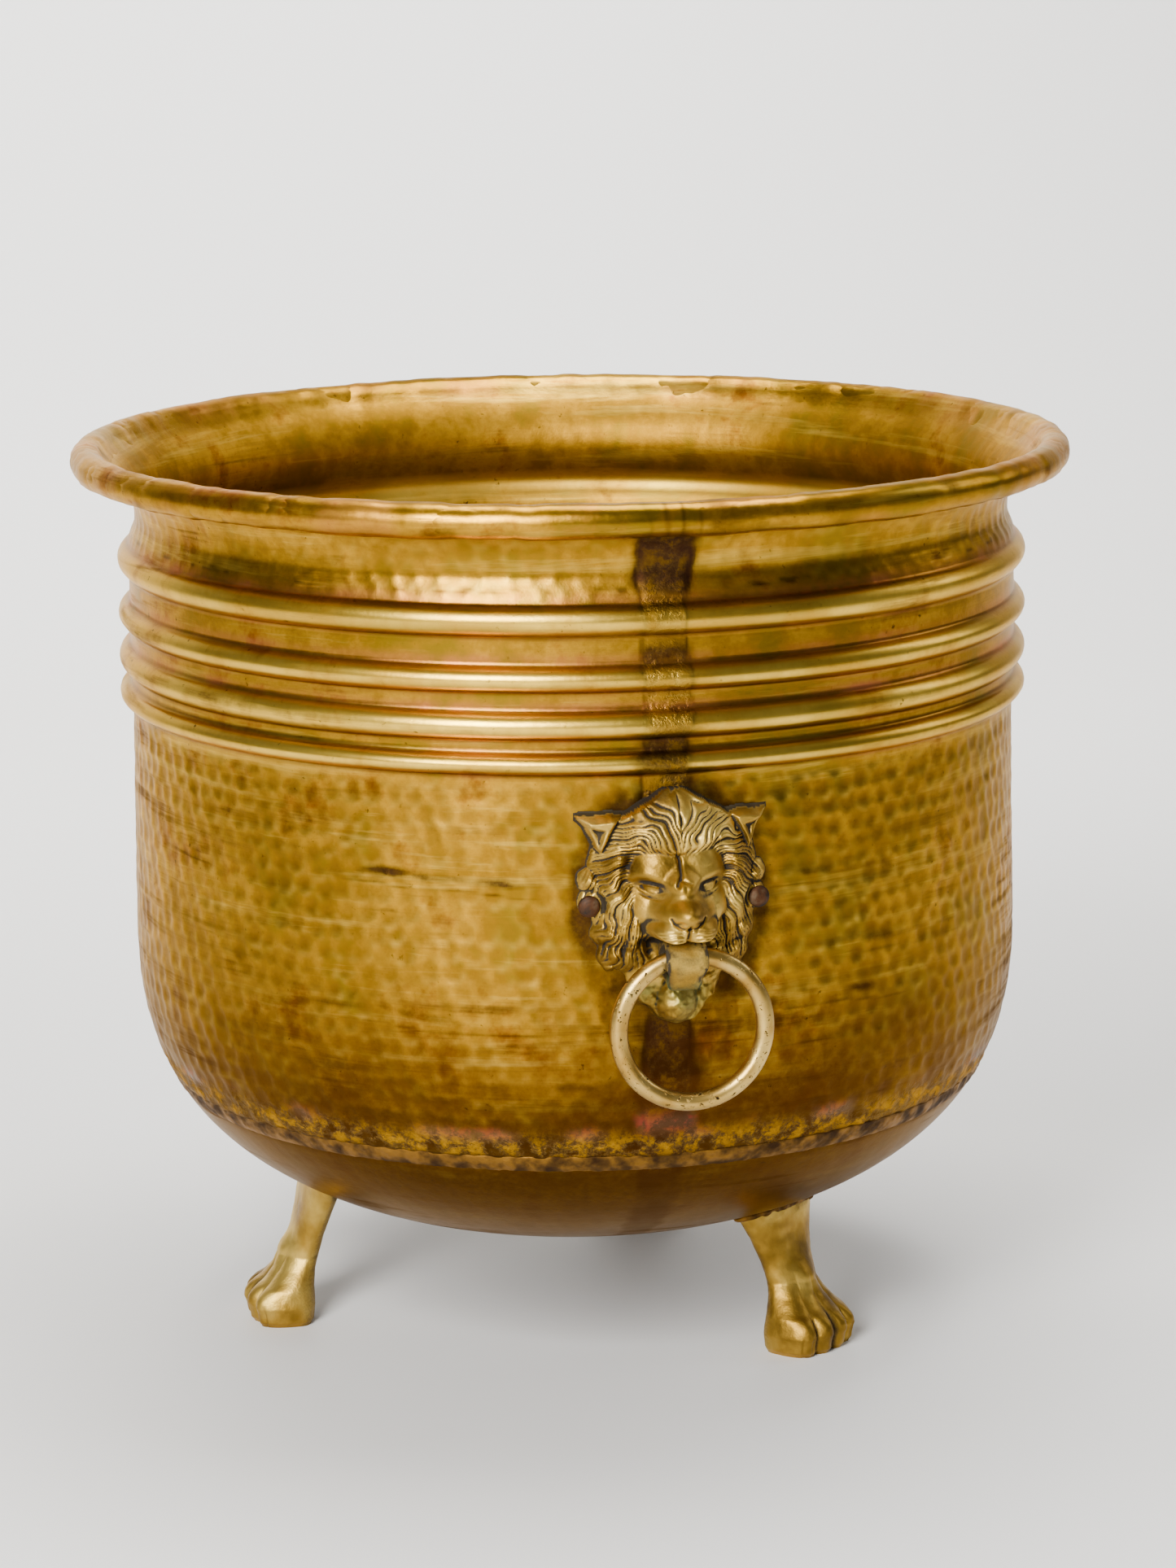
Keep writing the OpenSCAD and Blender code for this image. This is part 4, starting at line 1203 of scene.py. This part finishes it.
def buildCollar(name, node, pawPoints, seed):
    # lumpy fillet of filler where the casting meets the bowl
    s = collar
    line = pawPoints[-1] - np.array([0, 0, foot["letIn"] + 0.2])
    finer = np.linspace(0, len(line), len(line) * 2, endpoint=False)
    wrapped = np.concatenate([line, line[:1]])
    line = np.stack([np.interp(finer, np.arange(len(wrapped)), wrapped[:, k]) for k in range(3)], -1)
    ahead = np.roll(line, -1, 0) - np.roll(line, 1, 0)
    ahead /= np.linalg.norm(ahead, axis=1)[:, None]
    out = line - line.mean(0)
    out[:, 2] = 0
    out -= ahead * np.sum(out * ahead, 1)[:, None]
    out /= np.linalg.norm(out, axis=1)[:, None]
    up = np.cross(ahead, out)
    b = np.linspace(0, 2 * np.pi, s["section"], endpoint=False)
    ring = out[:, None, :] * np.cos(b)[None, :, None] + up[:, None, :] * np.sin(b)[None, :, None]
    start = line[:, None, :] + ring * s["radius"]
    size = s["radius"] * (0.75 + 0.9 * np.clip(noiseField(start, 8.0, seed, 2) + 0.3, 0, 1))
    size = size + 0.9 * np.clip(noiseField(start, s["lump"], seed + 1, 2), -0.5, 1)
    points = line[:, None, :] + ring * size[..., None]
    under = bowlUnderside(np.hypot(points[..., 0], points[..., 1])) + 1.0
    points[..., 2] = np.minimum(points[..., 2], under)
    faces = gridFaces(len(line), s["section"], wrapRows=True)
    piece = meshPiece(name, points.reshape(-1, 3), faces)
    return place(piece, "pot", "brazing", spelter, node)


for node, turn, toe in zip(foot["names"], foot["turns"], foot["toes"]):
    pawName = node.replace("_foot", "Paw")
    pawPoints = buildFoot(pawName, node, turn, toe)
    buildCollar(pawName + "Collar", node + "_braze", pawPoints, 120 + turn)
print("feet cast and brazed on")


# materials for the CAD pieces that keep their shape

finishes = {"rim_wire": iron}
for side in ("front_left", "front_right", "back_left", "back_right"):
    finishes[side + "_burr"] = rodBrass
    finishes[side + "_rivet"] = iron
for node, finish in finishes.items():
    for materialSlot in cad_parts[node].material_slots:
        materialSlot.material = finish


# stage: pale floor, soft studio light, camera

stageLook = {"paint": "#e4e2de", "world": "#dfe4e8", "worldStrength": 0.24, "paleStrength": 0.9,
             "coveStart": 1.5, "coveRadius": 0.9, "coveTop": 3.4, "halfWidth": 3.6, "front": -3.4}   # metres


def buildStage():
    s = stageLook
    material, tree = newMaterial("mattEmulsionBoard")   # rolled paint: no gloss, a faint roller texture
    objectPlace = addNode(tree, "TexCoord").outputs["Object"]
    roller = addNode(tree, "TexNoise", {"Scale": 90.0, "Detail": 3.0}, {"Vector": objectPlace})
    bump = addNode(tree, "Bump", {"Strength": 0.03, "Distance": 0.001}, {"Height": roller.outputs["Fac"]})
    shader = addNode(tree, "BsdfPrincipled", {"Base Color": toLinear(s["paint"]), "Roughness": 0.6},
                     {"Normal": bump.outputs["Normal"]})
    addNode(tree, "OutputMaterial", {}, {"Surface": shader.outputs["BSDF"]})
    # floor that sweeps up into a back wall
    bend = np.radians(np.linspace(0, 90, 40))
    y = np.concatenate([[s["front"]], s["coveStart"] + s["coveRadius"] * np.sin(bend),
                        [s["coveStart"] + s["coveRadius"]]])
    z = np.concatenate([[0], s["coveRadius"] * (1 - np.cos(bend)), [s["coveTop"]]]) - 0.00005
    points = np.stack([np.stack([0 * y + side * s["halfWidth"], y, z], -1) for side in (-1, 1)], 1) / mm
    floor = meshPiece("floorCove", points.reshape(-1, 3), gridFaces(len(y), 2, wrapColumns=False))
    floor.data.materials.append(material)

    world = bpy.data.worlds.new("softStudio")
    bpy.context.scene.world = world
    world.use_nodes = True
    tree = world.node_tree
    tree.nodes.clear()
    # the room lights the brass dimly, and looks as pale as the floor where the floor ends
    room = addNode(tree, "Background", {"Color": toLinear(s["world"]), "Strength": s["worldStrength"]})
    pale = addNode(tree, "Background", {"Color": toLinear(s["paint"]), "Strength": s["paleStrength"]})
    seen = addNode(tree, "LightPath").outputs["Is Camera Ray"]
    both = addNode(tree, "MixShader", {}, {0: seen, 1: room.outputs[0], 2: pale.outputs[0]})
    addNode(tree, "OutputWorld", {}, {"Surface": both.outputs[0]})


def addSoftbox(name, azimuth, elevation, distance, width, height, power, aim=(0, 0, 0.22)):
    # azimuth from the front towards +X, in degrees, then elevation, metres from the pot, size and watts
    a, e = math.radians(azimuth), math.radians(elevation)
    target = Vector(aim)
    direction = Vector((math.sin(a) * math.cos(e), -math.cos(a) * math.cos(e), math.sin(e)))
    spot = Vector((0, 0, 0.22)) + distance * direction
    light = bpy.data.lights.new(name, "AREA")
    light.shape = "RECTANGLE"
    light.size, light.size_y = width, height
    light.energy = power
    lamp = bpy.data.objects.new(name, light)
    bpy.context.scene.collection.objects.link(lamp)
    lamp.location = spot
    lamp.rotation_mode = "QUATERNION"
    lamp.rotation_quaternion = (target - spot).to_track_quat("-Z", "Y")


cameraSet = {
    "azimuth": -11.8, "distance": 2.15, "height": 0.7017,    # where it stands, degrees and metres
    "pan": 0.175, "tilt": -11.916, "roll": -0.658,           # degrees
    "lens": 107.85,                                          # mm on a 36 mm long side
}


def buildCamera():
    c = cameraSet
    a = math.radians(c["azimuth"])
    heading = math.radians(-c["azimuth"] + c["pan"])
    tilt, roll = math.radians(c["tilt"]), math.radians(c["roll"])
    level = math.cos(tilt)
    forward = Vector((math.sin(heading) * level, math.cos(heading) * level, math.sin(tilt)))
    right = forward.cross(Vector((0, 0, 1))).normalized()
    up = right.cross(forward)
    turnedRight = math.cos(roll) * right + math.sin(roll) * up
    turnedUp = -math.sin(roll) * right + math.cos(roll) * up
    data = bpy.data.cameras.new("camera")
    data.lens, data.sensor_width = c["lens"], 36
    data.clip_start, data.clip_end = 0.05, 60
    camera = bpy.data.objects.new("camera", data)
    bpy.context.scene.collection.objects.link(camera)
    basis = Matrix((turnedRight, turnedUp, -forward)).transposed()
    spot = Vector((math.sin(a) * c["distance"], -math.cos(a) * c["distance"], c["height"]))
    camera.matrix_world = Matrix.Translation(spot) @ basis.to_4x4()
    bpy.context.scene.camera = camera


buildStage()
addSoftbox("keySoftbox", -34, 26, 2.4, 0.8, 1.2, 120)
addSoftbox("rightSoftbox", 96, 30, 2.4, 0.5, 1.2, 9)
addSoftbox("overheadSoftbox", 150, 80, 1.9, 1.3, 1.0, 60)
addSoftbox("coveSoftbox", 180, 50, 1.6, 2.6, 0.5, 70, aim=(0, 2.6, 0.6))
buildCamera()
print("stage, lights and camera ready")
